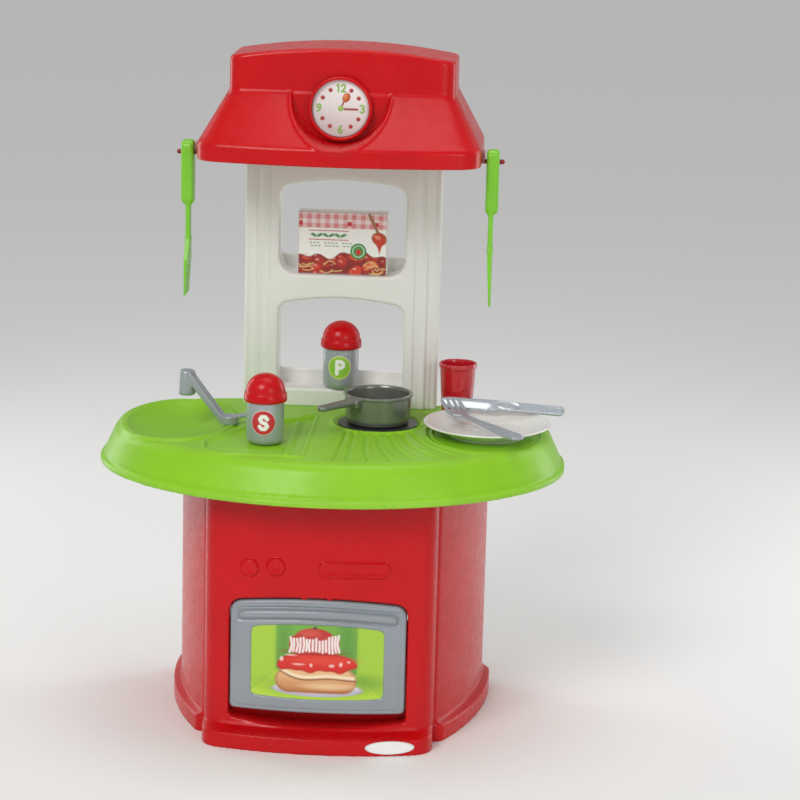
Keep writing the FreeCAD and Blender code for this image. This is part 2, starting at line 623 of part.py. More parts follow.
def make_cap(place):
    """Domed cap with a short skirt over the top of the body."""
    low = SHAKER_TALL - COVER
    top = low + CAP_TALL
    brow_r, brow_z = CAP_R - 1.4, low + 8.5
    rise = top - brow_z
    ball_r = (rise ** 2 + brow_r ** 2) / (2 * rise)
    half_turn = 0.5 * math.atan2(brow_r, ball_r - rise)
    dome_middle = (ball_r * math.sin(half_turn), 0, top - ball_r * (1 - math.cos(half_turn)))
    dome = [
        line((0, 0, low), (CAP_R - 1, 0, low)),
        arc((CAP_R - 1, 0, low), (CAP_R - 0.25, 0, low + 1), (CAP_R, 0, low + 2.5)),
        line((CAP_R, 0, low + 2.5), (CAP_R - 0.4, 0, low + 7.5)),
        line((CAP_R - 0.4, 0, low + 7.5), (brow_r, 0, brow_z)),
        arc((brow_r, 0, brow_z), dome_middle, (0, 0, top)),
        line((0, 0, top), (0, 0, low)),
    ]
    solid = turned(dome, place, place[2])
    socket = cyl(SHAKER_R, COVER, (place[0], place[1], place[2] + low))
    inside = turned_polygon([(0, low), (12.0, low), (10.0, low + 14), (0, low + 17)], place, place[2])
    return solid.cut([socket, inside])


def make_label(place):
    """Round sticker that lies on the front of a shaker."""
    disc = cyl(LABEL_R, 60, (place[0], place[1] - 60, place[2] + LABEL_RISE), (0, 1, 0))
    outer = cyl(SHAKER_R + LABEL_THICK, 60, place)
    inner = cyl(SHAKER_R, 60, place)
    return disc.common(outer).cut(inner)


def make_saucepan():
    """Shallow pan with a short flat grip."""
    r, h = PAN_R, PAN_TALL
    profile = [(0, 0), (r - 8, 0), (r - 4, 1.5), (r - 2.5, 5), (r - 1, h - 2), (r, h - 1), (r, h), (r - 2.5, h),
               (r - 3.4, h - 2), (r - 5, 6), (r - 7, 2.5), (0, 2.5)]
    z = DECK_Z - RECESS + BURNER_TALL
    pan = turned_polygon(profile, BURNER, z)
    grip = box(r - 1.6, r + PAN_GRIP_LONG, -PAN_GRIP_HALF, PAN_GRIP_HALF, h - 5.5, h - 1.5)
    grip = round_edges(grip, 5.5, lambda middle, way: abs(way.z) > 0.99 and middle.x > r)
    grip.rotate(Vector(0, 0, 0), Vector(0, 0, 1), PAN_GRIP_TURN)
    grip.translate(Vector(BURNER[0], BURNER[1], z))
    return fuse(pan, grip)


def make_cup():
    profile = [(0, 0), (13.0, 0), (13.8, 1), (16.6, 46), (17.4, 47), (17.4, 49), (15.4, 49), (15.0, 47),
               (12.2, 2.2), (0, 2.2)]
    return turned_polygon(profile, CUP, DECK_Z)


def make_plate():
    profile = [(0, 1.5), (33, 1.5), (33, 0), (35.5, 0), (36, 2), (50, 8), (PLATE_R, 11), (PLATE_R, 12.5),
               (50, 10), (36, 4.2), (0, 3.8)]
    return turned_polygon(profile, PLATE, PLATE_Z)


def flat_piece(outline, thick):
    return prism([(x, y, 0) for x, y in outline], (0, 0, thick))


def make_dinner_knife():
    """Knife along +x from the blade tip; its edge lies on the back of the plate's rim."""
    outline = [(0, 4), (2, -2), (10, -6.5), (50, -6.5), (55, -4.5), (111, -5), (114, -3), (114.5, 1),
               (112, 4.5), (60, 5), (50, 5.5)]
    knife = flat_piece(outline, CUTLERY)
    knife.rotate(Vector(0, 0, 0), Vector(1, 0, 0), KNIFE_ROLL)
    knife.rotate(Vector(0, 0, 0), Vector(0, 1, 0), KNIFE_PITCH)
    knife.rotate(Vector(0, 0, 0), Vector(0, 0, 1), KNIFE_YAW)
    knife.translate(Vector(*KNIFE_TIP))
    return knife


def make_dinner_fork():
    """Fork along +x from the neck of its head, tines curved up at the other end."""
    handle = flat_piece([(24, 2.2), (48, 3.2), (80, 5.8), (110, 7.6), (117, 6), (119, 2.5), (119, -2.5),
                         (117, -6), (110, -7.6), (80, -5.8), (48, -3.2), (24, -2.2)], CUTLERY)
    rise = [
        arc((0, 0, 11), (10, 0, 4.0), (25, 0, 0)),
        line((25, 0, 0), (27, 0, 0)),
        line((27, 0, 0), (27, 0, 2.6)),
        arc((27, 0, 2.6), (11.5, 0, 6.4), (1.6, 0, 12.6)),
        line((1.6, 0, 12.6), (0, 0, 11)),
    ]
    head = Part.Face(Part.Wire(rise)).extrude(Vector(0, 24, 0))
    head.translate(Vector(0, -12, 0))
    plan = flat_piece([(-5, 10.5), (14, 10.5), (21, 8), (26, 2.2), (28, 2.2), (28, -2.2), (26, -2.2), (21, -8),
                       (14, -10.5), (-5, -10.5)], 40)
    plan.translate(Vector(0, 0, -10))
    head = head.common(plan)
    slits = []
    for y in FORK_SLITS:
        slits.append(box(-5, 13, y - SLIT_HALF, y + SLIT_HALF, -5, 20))
    fork = fuse(head.cut(slits), handle)
    fork.rotate(Vector(0, 0, 0), Vector(0, 0, 1), FORK_YAW)
    fork.translate(Vector(*FORK_TIP))
    return fork


def make_food_carton():
    return box(-CARTON_HALF, CARTON_HALF, CARTON_Y0, CARTON_Y1, TRAY_Z, TRAY_Z + CARTON_TALL)


# ---------------------------------------------------------------- faucet

def make_faucet_spout():
    """Spout on a round foot; the stem under it turns in the worktop."""
    x, y = FAUCET
    foot = cyl(SPOUT_FOOT_R, SPOUT_FOOT_TALL, (x, y, DECK_Z))
    stem = cyl(STEM_R, STEM_LONG, (x, y, DECK_Z - STEM_LONG))
    away = Vector(NOZZLE[0] - x, NOZZLE[1] - y, 0)
    reach = away.Length
    side = [(-5, 0), (7, 8), (reach - 4, 44), (reach + 4, 44), (reach + 4, 38), (reach - 2, 36), (8, 0)]
    arm = prism([(px, -ARM_HALF, pz) for px, pz in side], (0, 2 * ARM_HALF, 0))
    arm.rotate(Vector(0, 0, 0), Vector(0, 0, 1), math.degrees(math.atan2(away.y, away.x)))
    arm.translate(Vector(x, y, DECK_Z))
    nozzle = cyl(NOZZLE_R, NOZZLE_TOP - NOZZLE_LOW, (NOZZLE[0], NOZZLE[1], DECK_Z + NOZZLE_LOW))
    rim = [edge for edge in nozzle.Edges if edge.BoundBox.ZMin > DECK_Z + NOZZLE_TOP - 1]
    nozzle = nozzle.makeFillet(3.0, rim)
    bore = cyl(BORE_R, BORE_TOP - NOZZLE_LOW + 1, (NOZZLE[0], NOZZLE[1], DECK_Z + NOZZLE_LOW - 1))
    return fuse(foot, stem, arm, nozzle).cut(bore)


def make_faucet_lever():
    x, y = FAUCET
    outline = [(4.0, 5), (30, 9), (31, 12), (28, 12), (4.0, 8)]
    lever = prism([(px, -LEVER_HALF, pz) for px, pz in outline], (0, 2 * LEVER_HALF, 0))
    lever.rotate(Vector(0, 0, 0), Vector(0, 0, 1), LEVER_TURN)
    lever.translate(Vector(x, y, DECK_Z))
    return lever.cut(make_faucet_spout())


# ---------------------------------------------------------------- all pieces

def main():
    os.makedirs("parts", exist_ok=True)
    side = make_side_panel()
    peg = make_peg()
    pieces = {
        "countertop": make_worktop(),
        "burner_disc": make_burner(),
        "front_panel": make_front_panel(),
        "side_panel_right": side,
        "side_panel_left": mirrored(side),
        "oven_floor": make_oven_floor(),
        "oven_door": make_oven_door(),
        "door_sticker": make_door_sticker(),
        "badge_plate": make_badge(),
        "back_frame": make_back_frame(),
        "hood": make_hood(),
        "clock_case": make_clock_case(),
        "clock_dial": make_clock_dial(),
        "peg_right": peg,
        "peg_left": mirrored(peg),
        "spatula": make_spatula(),
        "serving_fork": mirrored(make_serving_fork()),
        "salt_body": make_shaker(SALT),
        "salt_cap": make_cap(SALT),
        "salt_label": make_label(SALT),
        "pepper_body": make_shaker(PEPPER),
        "pepper_cap": make_cap(PEPPER),
        "pepper_label": make_label(PEPPER),
        "saucepan": make_saucepan(),
        "cup": make_cup(),
        "plate": make_plate(),
        "dinner_knife": make_dinner_knife(),
        "dinner_fork": make_dinner_fork(),
        "food_carton": make_food_carton(),
        "faucet_spout": make_faucet_spout(),
        "faucet_lever": make_faucet_lever(),
    }
    for name, shape in pieces.items():
        save(name, shape)


main()
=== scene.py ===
import math

import bpy
import numpy as np
from mathutils import Matrix, Vector
from numpy import clip, hypot, maximum, minimum


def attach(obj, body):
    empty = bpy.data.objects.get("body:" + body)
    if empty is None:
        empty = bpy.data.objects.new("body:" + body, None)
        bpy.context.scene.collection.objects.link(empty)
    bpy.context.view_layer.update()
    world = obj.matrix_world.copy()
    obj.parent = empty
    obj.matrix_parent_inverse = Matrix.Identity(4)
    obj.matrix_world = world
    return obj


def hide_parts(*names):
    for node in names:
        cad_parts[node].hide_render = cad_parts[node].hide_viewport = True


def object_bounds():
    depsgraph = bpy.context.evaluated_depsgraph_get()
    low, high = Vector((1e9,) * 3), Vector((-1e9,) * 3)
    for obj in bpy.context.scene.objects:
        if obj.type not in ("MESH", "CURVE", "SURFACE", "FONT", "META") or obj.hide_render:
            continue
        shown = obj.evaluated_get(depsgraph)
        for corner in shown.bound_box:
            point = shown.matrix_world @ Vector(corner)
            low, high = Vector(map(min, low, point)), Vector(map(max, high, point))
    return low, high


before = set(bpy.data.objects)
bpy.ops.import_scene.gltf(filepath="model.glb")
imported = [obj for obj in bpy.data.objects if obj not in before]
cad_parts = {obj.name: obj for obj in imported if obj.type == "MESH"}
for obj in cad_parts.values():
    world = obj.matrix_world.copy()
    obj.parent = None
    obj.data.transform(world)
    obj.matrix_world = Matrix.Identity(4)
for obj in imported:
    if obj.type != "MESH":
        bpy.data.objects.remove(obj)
CAD_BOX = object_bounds()

# Lengths below are in millimetres, as in the CAD part, and become metres in the meshes.
MM = 0.001
COARSE = 1.0


# ---- distance fields

def smooth_min(a, b, k):
    """The smaller of two distances, blended over a width k where they meet."""
    h = clip(0.5 + 0.5 * (b - a) / k, 0, 1)
    return b + (a - b) * h - k * h * (1 - h)


def smooth_max(a, b, k):
    return -smooth_min(-a, -b, k)


def ramp(t):
    """0 below t = 0, 1 above t = 1, smooth between."""
    t = clip(t, 0, 1)
    return t * t * (3 - 2 * t)


def ridge(distance, width):
    """A soft line: 1 on the line, fading over about its width."""
    return np.exp(-(distance / width) ** 2)


def box2(u, v, half_u, half_v, r=0.0):
    """Distance to a flat rectangle about the origin, with corners rounded by r."""
    qu, qv = np.abs(u) - half_u + r, np.abs(v) - half_v + r
    outside = hypot(maximum(qu, 0), maximum(qv, 0))
    return outside + minimum(maximum(qu, qv), 0) - r


def slab(flat, w, w0, w1, r=0.0):
    """A flat outline's distance, given thickness from w0 to w1 and rounded by r."""
    across = np.abs(w - (w0 + w1) / 2) - (w1 - w0) / 2 + r
    flat = flat + r
    outside = hypot(maximum(flat, 0), maximum(across, 0))
    return outside + minimum(maximum(flat, across), 0) - r


def off_axis(x, y, centre):
    """Distance in plan from an upright axis."""
    return hypot(x - centre[0], y - centre[1])


def capsule(x, y, z, a, b, r):
    """Distance to a rod from a to b."""
    ax, ay, az = (b[i] - a[i] for i in range(3))
    t = ((x - a[0]) * ax + (y - a[1]) * ay + (z - a[2]) * az) / (ax * ax + ay * ay + az * az)
    t = clip(t, 0, 1)
    return np.sqrt((x - a[0] - t * ax) ** 2 + (y - a[1] - t * ay) ** 2
                   + (z - a[2] - t * az) ** 2) - r


def line2(u, v, points):
    """Distance to an open line through points."""
    nearest = np.full(np.broadcast(u, v).shape, 1e9)
    for (au, av), (bu, bv) in zip(points, points[1:]):
        eu, ev = bu - au, bv - av
        t = clip(((u - au) * eu + (v - av) * ev) / (eu * eu + ev * ev), 0, 1)
        nearest = minimum(nearest, hypot(u - au - t * eu, v - av - t * ev))
    return nearest


def polygon2(u, v, points):
    """Signed distance to a polygon, negative inside."""
    loop = points[:1] + points[::-1]
    sign = 1.0
    for (au, av), (bu, bv) in zip(loop, loop[1:]):
        above, below = v >= av, v < bv
        left = (bu - au) * (v - av) > (bv - av) * (u - au)
        flip = (above & below & left) | (~above & ~below & ~left)
        sign = np.where(flip, -sign, sign)
    return line2(u, v, loop) * sign


# ---- meshes

def linked(name, data):
    """New object for a mesh, light or camera, put in the scene."""
    thing = bpy.data.objects.new(name, data)
    bpy.context.collection.objects.link(thing)
    return thing


def new_object(name, verts, faces):
    """Smooth mesh object from points in mm; faces is a list, or an array of quads."""
    mesh = bpy.data.meshes.new(name)
    if isinstance(faces, list):
        mesh.from_pydata([tuple(v) for v in np.asarray(verts) * MM], [], faces)
    else:
        mesh.vertices.add(len(verts))
        mesh.vertices.foreach_set("co", (np.asarray(verts) * MM).astype(np.float32).ravel())
        mesh.loops.add(faces.size)
        mesh.loops.foreach_set("vertex_index", faces.astype(np.int32).ravel())
        mesh.polygons.add(len(faces))
        mesh.polygons.foreach_set("loop_start", np.arange(0, faces.size, 4, dtype=np.int32))
        mesh.update(calc_edges=True)
    mesh.validate()
    mesh.polygons.foreach_set("use_smooth", np.full(len(mesh.polygons), True))
    return linked(name, mesh)


def cut(array, axis, start, stop):
    """The array from start to stop along one axis."""
    index = [slice(None)] * 3
    index[axis] = slice(start, stop)
    return array[tuple(index)]


def slope_of(field, verts, reach):
    """The field's slope at each vertex, measured over a reach to either side."""
    slope = np.empty_like(verts)
    for axis in range(3):
        shift = np.zeros(3)
        shift[axis] = reach
        slope[:, axis] = (field(*(verts + shift).T) - field(*(verts - shift).T)) / (2 * reach)
    return slope


def settle(field, verts, step):
    """Moves each vertex along the field's slope onto the surface, by less than half a cell."""
    for _ in range(2):
        slope = slope_of(field, verts, 0.2 * step)
        move = -(field(*verts.T) / maximum((slope ** 2).sum(1), 0.3))[:, None] * slope
        length = np.linalg.norm(move, axis=1, keepdims=True)
        verts = verts + move * minimum(1, 0.4 * step / maximum(length, 1e-9))
    return verts


def skin(name, field, low, high, step, mirror=False):
    """Mesh of the surface where field is zero, by surface nets on a grid."""
    step = step * COARSE
    axes = [np.arange(a - 2.37 * step, b + 3 * step, step) for a, b in zip(low, high)]
    x, y, z = np.meshgrid(*axes, indexing="ij", sparse=True)
    shape = tuple(len(a) for a in axes)
    values = np.ascontiguousarray(np.broadcast_to(field(x, y, z), shape), np.float32)
    inside = values < 0
    cells = tuple(n - 1 for n in shape)
    total = np.zeros(cells + (3,), np.float32)
    hits = np.zeros(cells, np.float32)
    crossings = []
    for axis in range(3):       # where the surface crosses the grid's edges
        b, c = (axis + 1) % 3, (axis + 2) % 3
        first, second = cut(values, axis, 0, -1), cut(values, axis, 1, None)
        crossing = cut(inside, axis, 0, -1) != cut(inside, axis, 1, None)
        crossings.append(crossing)
        t = np.where(crossing, first / np.where(crossing, first - second, 1), 0)
        for ob, oc in ((0, 0), (0, 1), (1, 0), (1, 1)):
            here, along = (cut(cut(part, b, ob, shape[b] - 1 + ob), c, oc, shape[c] - 1 + oc)
                           for part in (crossing, t))
            total[..., axis] += along
            total[..., b] += here * ob
            total[..., c] += here * oc
            hits += here
    used = hits > 0
    ids = np.full(cells, -1, np.int32)
    ids[used] = np.arange(used.sum())
    origin = np.array([a[0] for a in axes])
    verts = (np.argwhere(used) + total[used] / hits[used][:, None]) * step + origin
    quads = []
    for axis in range(3):       # one quad round each crossed edge
        b, c = (axis + 1) % 3, (axis + 2) % 3
        at = np.argwhere(cut(cut(crossings[axis], b, 1, -1), c, 1, -1))
        at[:, b] += 1
        at[:, c] += 1
        corners = []
        for ob, oc in ((1, 1), (0, 1), (0, 0), (1, 0)):
            cell = at.copy()
            cell[:, b] -= ob
            cell[:, c] -= oc
            corners.append(ids[tuple(cell.T)])
        quad = np.stack(corners, 1)
        leaving = inside[tuple(at.T)]
        quads.append(np.where(leaving[:, None], quad, quad[:, ::-1]))
    faces = np.concatenate(quads)
    corner = np.argwhere(used) * step + origin      # each vertex stays in its own cell
    verts = clip(settle(field, verts, step), corner + 0.03 * step, corner + 0.97 * step)
    verts = clip(verts, np.array(CAD_BOX[0]) / MM, np.array(CAD_BOX[1]) / MM)
    normals = slope_of(field, verts, 0.3 * step)
    normals /= maximum(np.linalg.norm(normals, axis=1, keepdims=True), 1e-6)
    if mirror:
        verts, normals = verts * np.array([-1, 1, 1]), normals * np.array([-1, 1, 1])
        faces = faces[:, ::-1]
    print("%-18s %7d quads" % (name, len(faces)))
    piece = new_object(name, verts, faces)
    if len(piece.data.vertices) == len(normals):     # unless validate dropped some
        piece.data.normals_split_custom_set_from_vertices(normals)
    return piece


def rounded(points, radius, steps=4):
    """Closed profile with its corners rounded, apart from those on the axis."""
    out = []
    count = len(points)
    for i, here in enumerate(points):
        before, after = np.array(points[i - 1], float), np.array(points[(i + 1) % count], float)
        here = np.array(here, float)
        if here[0] < 1e-6:
            out.append(tuple(here))
            continue
        back, on = before - here, after - here
        reach = min(radius, 0.45 * np.linalg.norm(back), 0.45 * np.linalg.norm(on))
        start = here + back / np.linalg.norm(back) * reach
        end = here + on / np.linalg.norm(on) * reach
        for k in range(steps + 1):
            t = k / steps
            out.append(tuple((1 - t) ** 2 * start + 2 * t * (1 - t) * here + t * t * end))
    return out


def lathe(name, profile, centre, axis="Z", segments=112):
    """Turned piece. The profile of (radius, height) starts and ends on the axis, or closes."""
    verts, faces, rows = [], [], []
    turns = np.arange(segments) * 2 * math.pi / segments
    for r, h in profile:
        if r < 1e-6:
            rows.append([len(verts)])
            verts.append((0, 0, h))
        else:
            rows.append(list(range(len(verts), len(verts) + segments)))
            verts += [(r * math.cos(t), r * math.sin(t), h) for t in turns]
    closing = [(rows[-1], rows[0])] if profile[0][0] > 1e-6 else []
    for low, high in list(zip(rows, rows[1:])) + closing:
        for i in range(segments):
            j = (i + 1) % segments
            m, n = len(low), len(high)
            face = tuple(dict.fromkeys((low[i % m], low[j % m], high[j % n], high[i % n])))
            if len(face) > 2:
                faces.append(face)
    verts = np.array(verts, float)
    if axis == "Y":
        verts = verts[:, [0, 2, 1]] * np.array([1, -1, 1])
    return new_object(name, verts + np.array(centre), faces)


# ---- materials

def rgb(code):
    """sRGB hex code to linear colour values."""
    parts = [int(code[i:i + 2], 16) / 255 for i in (0, 2, 4)]
    return [p / 12.92 if p < 0.04045 else ((p + 0.055) / 1.055) ** 2.4 for p in parts]


def add(tree, kind, links=None, **settings):
    """Adds a shader node; links maps an input's name or place to a socket or a value."""
    made = tree.nodes.new("ShaderNode" + kind)
    for key, value in settings.items():
        setattr(made, key, value)
    for key, value in (links or {}).items():
        if isinstance(value, bpy.types.NodeSocket):
            tree.links.new(value, made.inputs[key])
        else:
            made.inputs[key].default_value = value
    return made


def spread(tree, value, low, high, to_low, to_high):
    made = add(tree, "MapRange", {"Value": value})
    limits = {"From Min": low, "From Max": high, "To Min": to_low, "To Max": to_high}
    for key, amount in limits.items():
        made.inputs[key].default_value = amount
    return made.outputs["Result"]


def blend_colour(tree, amount, first, second, kind="MIX"):
    inputs = {0: amount, 6: first, 7: second}
    return add(tree, "Mix", inputs, data_type="RGBA", blend_type=kind).outputs[2]


def grey(tree, value):
    return add(tree, "CombineColor", {0: value, 1: value, 2: value}).outputs[0]


def plastic(name, colour=None, rough=0.32, mottle=0.05, grain=0.08, coat=0.15, metal=0.0,
            flake=0.0, edge=0.10, shine=0.5):
    """Moulded plastic: mottled colour, fine skin, uneven gloss, paler worn edges, metal flake.

    With no colour, the piece's own printed colours are used."""
    material = bpy.data.materials.new(name)
    material.use_nodes = True
    tree = material.node_tree
    tree.nodes.clear()
    place = add(tree, "TexCoord").outputs["Object"]
    clouds, fine, scuffs = (
        add(tree, "TexNoise", {"Vector": place, "Scale": scale, "Detail": detail}).outputs["Fac"]
        for scale, detail in ((22.0, 3.0), (650.0, 2.0), (95.0, 6.0)))
    if colour is None:
        base = add(tree, "Attribute", attribute_name="print").outputs["Color"]
    else:
        base = add(tree, "RGB").outputs[0]
        base.default_value = rgb(colour) + [1]
    tone = grey(tree, spread(tree, clouds, 0.3, 0.7, 1 - mottle, 1 + mottle))
    base = blend_colour(tree, 1.0, base, tone, "MULTIPLY")
    if edge:
        sharp = add(tree, "NewGeometry").outputs["Pointiness"]
        worn = spread(tree, sharp, 0.515, 0.60, 0.0, edge)
        base = blend_colour(tree, worn, base, (1, 1, 1, 1))
    gloss = spread(tree, scuffs, 0.35, 0.68, rough - 0.04, rough + 0.07)
    if flake:
        cells = add(tree, "TexVoronoi", {"Vector": place, "Scale": 3600.0})
        glint = add(tree, "SeparateColor", {0: cells.outputs["Color"]}).outputs[0]
        spark = grey(tree, spread(tree, glint, 0.0, 1.0, 1 - flake, 1 + flake))
        base = blend_colour(tree, 1.0, base, spark, "MULTIPLY")
        uneven = spread(tree, glint, 0.0, 1.0, -0.05, 0.05)
        gloss = add(tree, "Math", {0: gloss, 1: uneven}, operation="ADD").outputs[0]
    bump = add(tree, "Bump", {"Height": fine, "Strength": grain, "Distance": 0.0001})
    shader = add(tree, "BsdfPrincipled", {
        "Base Color": base, "Roughness": gloss, "Metallic": metal, "Coat Weight": coat,
        "Coat Roughness": 0.12, "Specular IOR Level": shine, "IOR": 1.48,
        "Normal": bump.outputs[0]})
    add(tree, "OutputMaterial", {"Surface": shader.outputs[0]})
    return material


RED = plastic("red_plastic", "C8060E", rough=0.28, coat=0.06, edge=0.0, shine=0.28)
# the pegs' red is the plastic's red darkened as painted shade from the hood's overhang
PEG_RED_PAINTED_SHADE = plastic("peg_red_painted_shade", "8E1218", rough=0.34, shine=0.35)
CLEAR_RED = plastic("cup_red_plastic", "C21824", rough=0.16, coat=0.5)
GREEN = plastic("green_plastic", "8FCB22", rough=0.38, coat=0.06, grain=0.12, edge=0.06, shine=0.35)
UTENSIL_GREEN = plastic("utensil_green_plastic", "7DC832", rough=0.30, shine=0.35)
WHITE = plastic("white_plastic", "E6E5E0", rough=0.36, mottle=0.02, edge=0.05)
PLATE_WHITE = plastic("plate_plastic", "ECEBE4", rough=0.22, mottle=0.02, coat=0.4, edge=0.05)
SILVER = plastic("silver_plastic", "A9AFB5", rough=0.32, metal=0.35, flake=0.06, coat=0.2)
DOOR_GREY = plastic("door_plastic", "959CA2", rough=0.40, metal=0.20, flake=0.05, coat=0.1)
PAN_GREY = plastic("pan_plastic", "7F8379", rough=0.28, metal=0.50, flake=0.06, coat=0.25)
BLACK = plastic("black_plastic", "0C0C0E", rough=0.34, edge=0.04)
CARD = plastic("card", "F1EFEA", rough=0.55, coat=0.0, grain=0.25, edge=0.0)
PRINT = plastic("printed_paper", None, rough=0.30, mottle=0.015, grain=0.05, coat=0.3, edge=0.0)


def settled(piece, material, body, slot, *nodes):
    """Gives a piece its material, the body it rides and the CAD nodes it replaces; slot is not
    used.
    """
    piece.data.materials.append(material)
    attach(piece, body)
    if nodes:
        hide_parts(*nodes)
    return piece


# ---- worktop

RIM_Z, DECK_Z, BEAD_TALL = 229.0, 264.0, 5.2
PLAN_HALF, PLAN_FRONT, PLAN_BACK, PLAN_MID = 210, 165, 105, 30      # the outline's half axes
TAPER, TAPER_BACK = 16, 6               # how far the apron leans in from rim to deck
SINK, SINK_A, SINK_B, SINK_DEEP = (-139.0, 24.0), 47.0, 72.0, 15.0
BURNER, BURNER_RECESS = (39.5, 40.0), 38.0
PLATE_REST, PLATE_A, PLATE_B = (139.0, 18.0), 48.0, 70.0
RECESS = 1.5
DRAINER = [(-108, -56), (-72, 7), (-19, 56), (-19, -99), (-80, -99), (-100, -84)]
GROOVE_START_R, GROOVE_END_A, GROOVE_END_B = 46.0, 178, 134
GROOVES = ((14, 11), (22, 22), (32, 41), (42, 61), (53, 81), (63, 100), (72, 117))


def plan(x, y, inset, inset_back):
    """Distance to the worktop's outline in plan: half an ellipse, then a squarer curve."""
    half, ahead = PLAN_HALF - inset, y < PLAN_MID
    size = np.where(ahead, PLAN_FRONT - inset, PLAN_BACK - inset_back)
    u, v = np.abs(x) / half, (y - PLAN_MID) / size
    oval = maximum(np.sqrt(u ** 2 + v ** 2), 0.05)
    oval_slope = hypot(u / half, v / size) / oval
    square = maximum((u ** 3 + np.abs(v) ** 3) ** (1 / 3), 0.05)
    square_slope = hypot(u ** 2 / half, v ** 2 / size) / square ** 2
    return np.where(ahead, (oval - 1) / oval_slope, (square - 1) / square_slope)


def curve_through(start, bend, end, count=9):
    """Points on a curve that leaves start towards bend and arrives at end."""
    start, bend, end = np.array(start), np.array(bend), np.array(end)
    return [tuple((1 - t) ** 2 * start + 2 * t * (1 - t) * bend + t * t * end)
            for t in np.linspace(0, 1, count)]


def groove_lines():
    """Drainer grooves, from a ring round the burner to an oval inside the front edge."""
    lines = []
    for x0, x1 in GROOVES:
        y0 = BURNER[1] - math.sqrt(max(GROOVE_START_R ** 2 - (x0 - BURNER[0]) ** 2, 0))
        y1 = PLAN_MID - GROOVE_END_B * math.sqrt(1 - (x1 / GROOVE_END_A) ** 2)
        bend = (x0 + 0.12 * (x1 - x0), 0.55 * y1 + 0.45 * y0)
        lines.append(curve_through((x0, y0), bend, (x1, y1)))
    return lines


def deck(x, y):
    """Height of the worktop's upper side."""
    h = DECK_Z + 0 * (x + y)
    bowl = hypot((x - SINK[0]) / SINK_A, (y - SINK[1]) / SINK_B)
    h = h - smooth_max(0, SINK_DEEP * (1 - bowl ** 2) * (1 + 0.5 * bowl ** 4), 1.2) + 0.3
    h = minimum(h, DECK_Z) + 1.5 * ridge((bowl - 1.07) * 55, 1.9)
    h = h - 1.3 * ridge((bowl - 1.15) * 55, 1.6)
    tray = polygon2(x, y, DRAINER)
    tray = smooth_max(tray, smooth_max(-x - 101, -y - 92, 14.0) - 3, 6.0)
    h = h - RECESS * ramp(0.5 - tray / 2.0) + 1.6 * ridge(tray - 2.4, 1.6)
    bar = line2(x, y, [(-32, -84), (-32, 34)])
    h = h + 2.0 * ridge(bar, 2.3) - 0.8 * ridge(line2(x, y, [(-26.5, -84), (-26.5, 38)]), 1.4)
    ring = off_axis(x, y, BURNER) - BURNER_RECESS
    h = h - RECESS * ramp(0.5 - ring / 1.6) + 1.6 * ridge(ring - 3.2, 1.9)
    for points in groove_lines():
        h = h - 1.7 * ridge(line2(x, y, points), 1.5)
        h = h + 0.6 * ridge(line2(x, y, [(px + 3.2, py) for px, py in points]), 1.8)
    rest = hypot((x - PLATE_REST[0]) / PLATE_A, (y - PLATE_REST[1]) / PLATE_B)
    keep = ramp((-plan(x, y, TAPER, TAPER_BACK) - 5) / 8)       # fades at the worktop's edge
    h = h - RECESS * ramp(0.5 + (1 - rest) * 25)
    return (h - keep * 1.5 * ridge((rest - 1.075) * 56, 1.8)
            + keep * 1.2 * ridge((rest - 1.15) * 56, 2.0))


def worktop(x, y, z):
    """Leaning apron with a bead at its rim, under the deck and hollow below."""
    lean = (z - RIM_Z) / (DECK_Z - RIM_Z)
    side = plan(x, y, TAPER * lean, TAPER_BACK * lean) / 1.08
    height = deck(x, y)
    body = smooth_max(side, z - height, 9.0)
    body = body + 0.7 * ridge(z - 236.2, 1.3) * (z < 245)
    bead = slab(plan(x, y, 0.0, 0.0), z, RIM_Z, RIM_Z + BEAD_TALL, 2.2)
    body = smooth_min(body, bead, 1.2)
    hollow = smooth_max(side + 4.0, z - height + 5, 6.0)
    body = smooth_max(body, -hollow, 1.2)
    return smooth_max(body, RIM_Z - z, 0.8)


settled(skin("worktop_moulding", worktop, (-210, -135, 229), (210, 135, 266), 1.77),
        GREEN, "root", "green", "countertop")


# ---- base

BASE_TOP = 240
FACE_R, FACE_CENTRE = 361.0, 261.0      # bowed front: radius, and where its axis stands in y
FACE_HALF, SEAM_Y, SIDE_BACK = 102, -66.0, 108
SKIRT_TOP, SKIRT_FALL, SKIRT_LINE = 18.5, 4.5, 19.2
SKIRT_OUT, SIDE_SKIRT_OUT = 14.0, 7.0
UNDERCUT = 3.5                          # the inner wall's foot starts this much lower
DOOR_HALF = 77.0
JAMB_Y, SILL_MID, SILL_HALF = -76, 24.75, 7.75
KNOBS = ((-60.5, 163.0), (-37.0, 165.5))


def foot(z, out):
    """How far the skirt stands out at a height."""
    return out * smooth_min(smooth_max((SKIRT_TOP - z) / SKIRT_FALL, 0, 0.16), 1, 0.16)


def arched(u, v, half, low, low_mid, corner, mid, r_low, r_top):
    """Outline with flat sides and curved top and bottom."""
    bow = 1 - (u / half) ** 2
    top = smooth_max(v - corner - (mid - corner) * bow, np.abs(u) - half, 1.17 * r_top)
    return smooth_max(top, low + (low_mid - low) * bow - v, 1.17 * r_low)


def bowed(x, y, forward):
    """Distance to the bowed front with its rounded sides, moved forward."""
    face = hypot(x, y - FACE_CENTRE + forward) - FACE_R
    return smooth_max(face, np.abs(x) - FACE_HALF, 16.0)


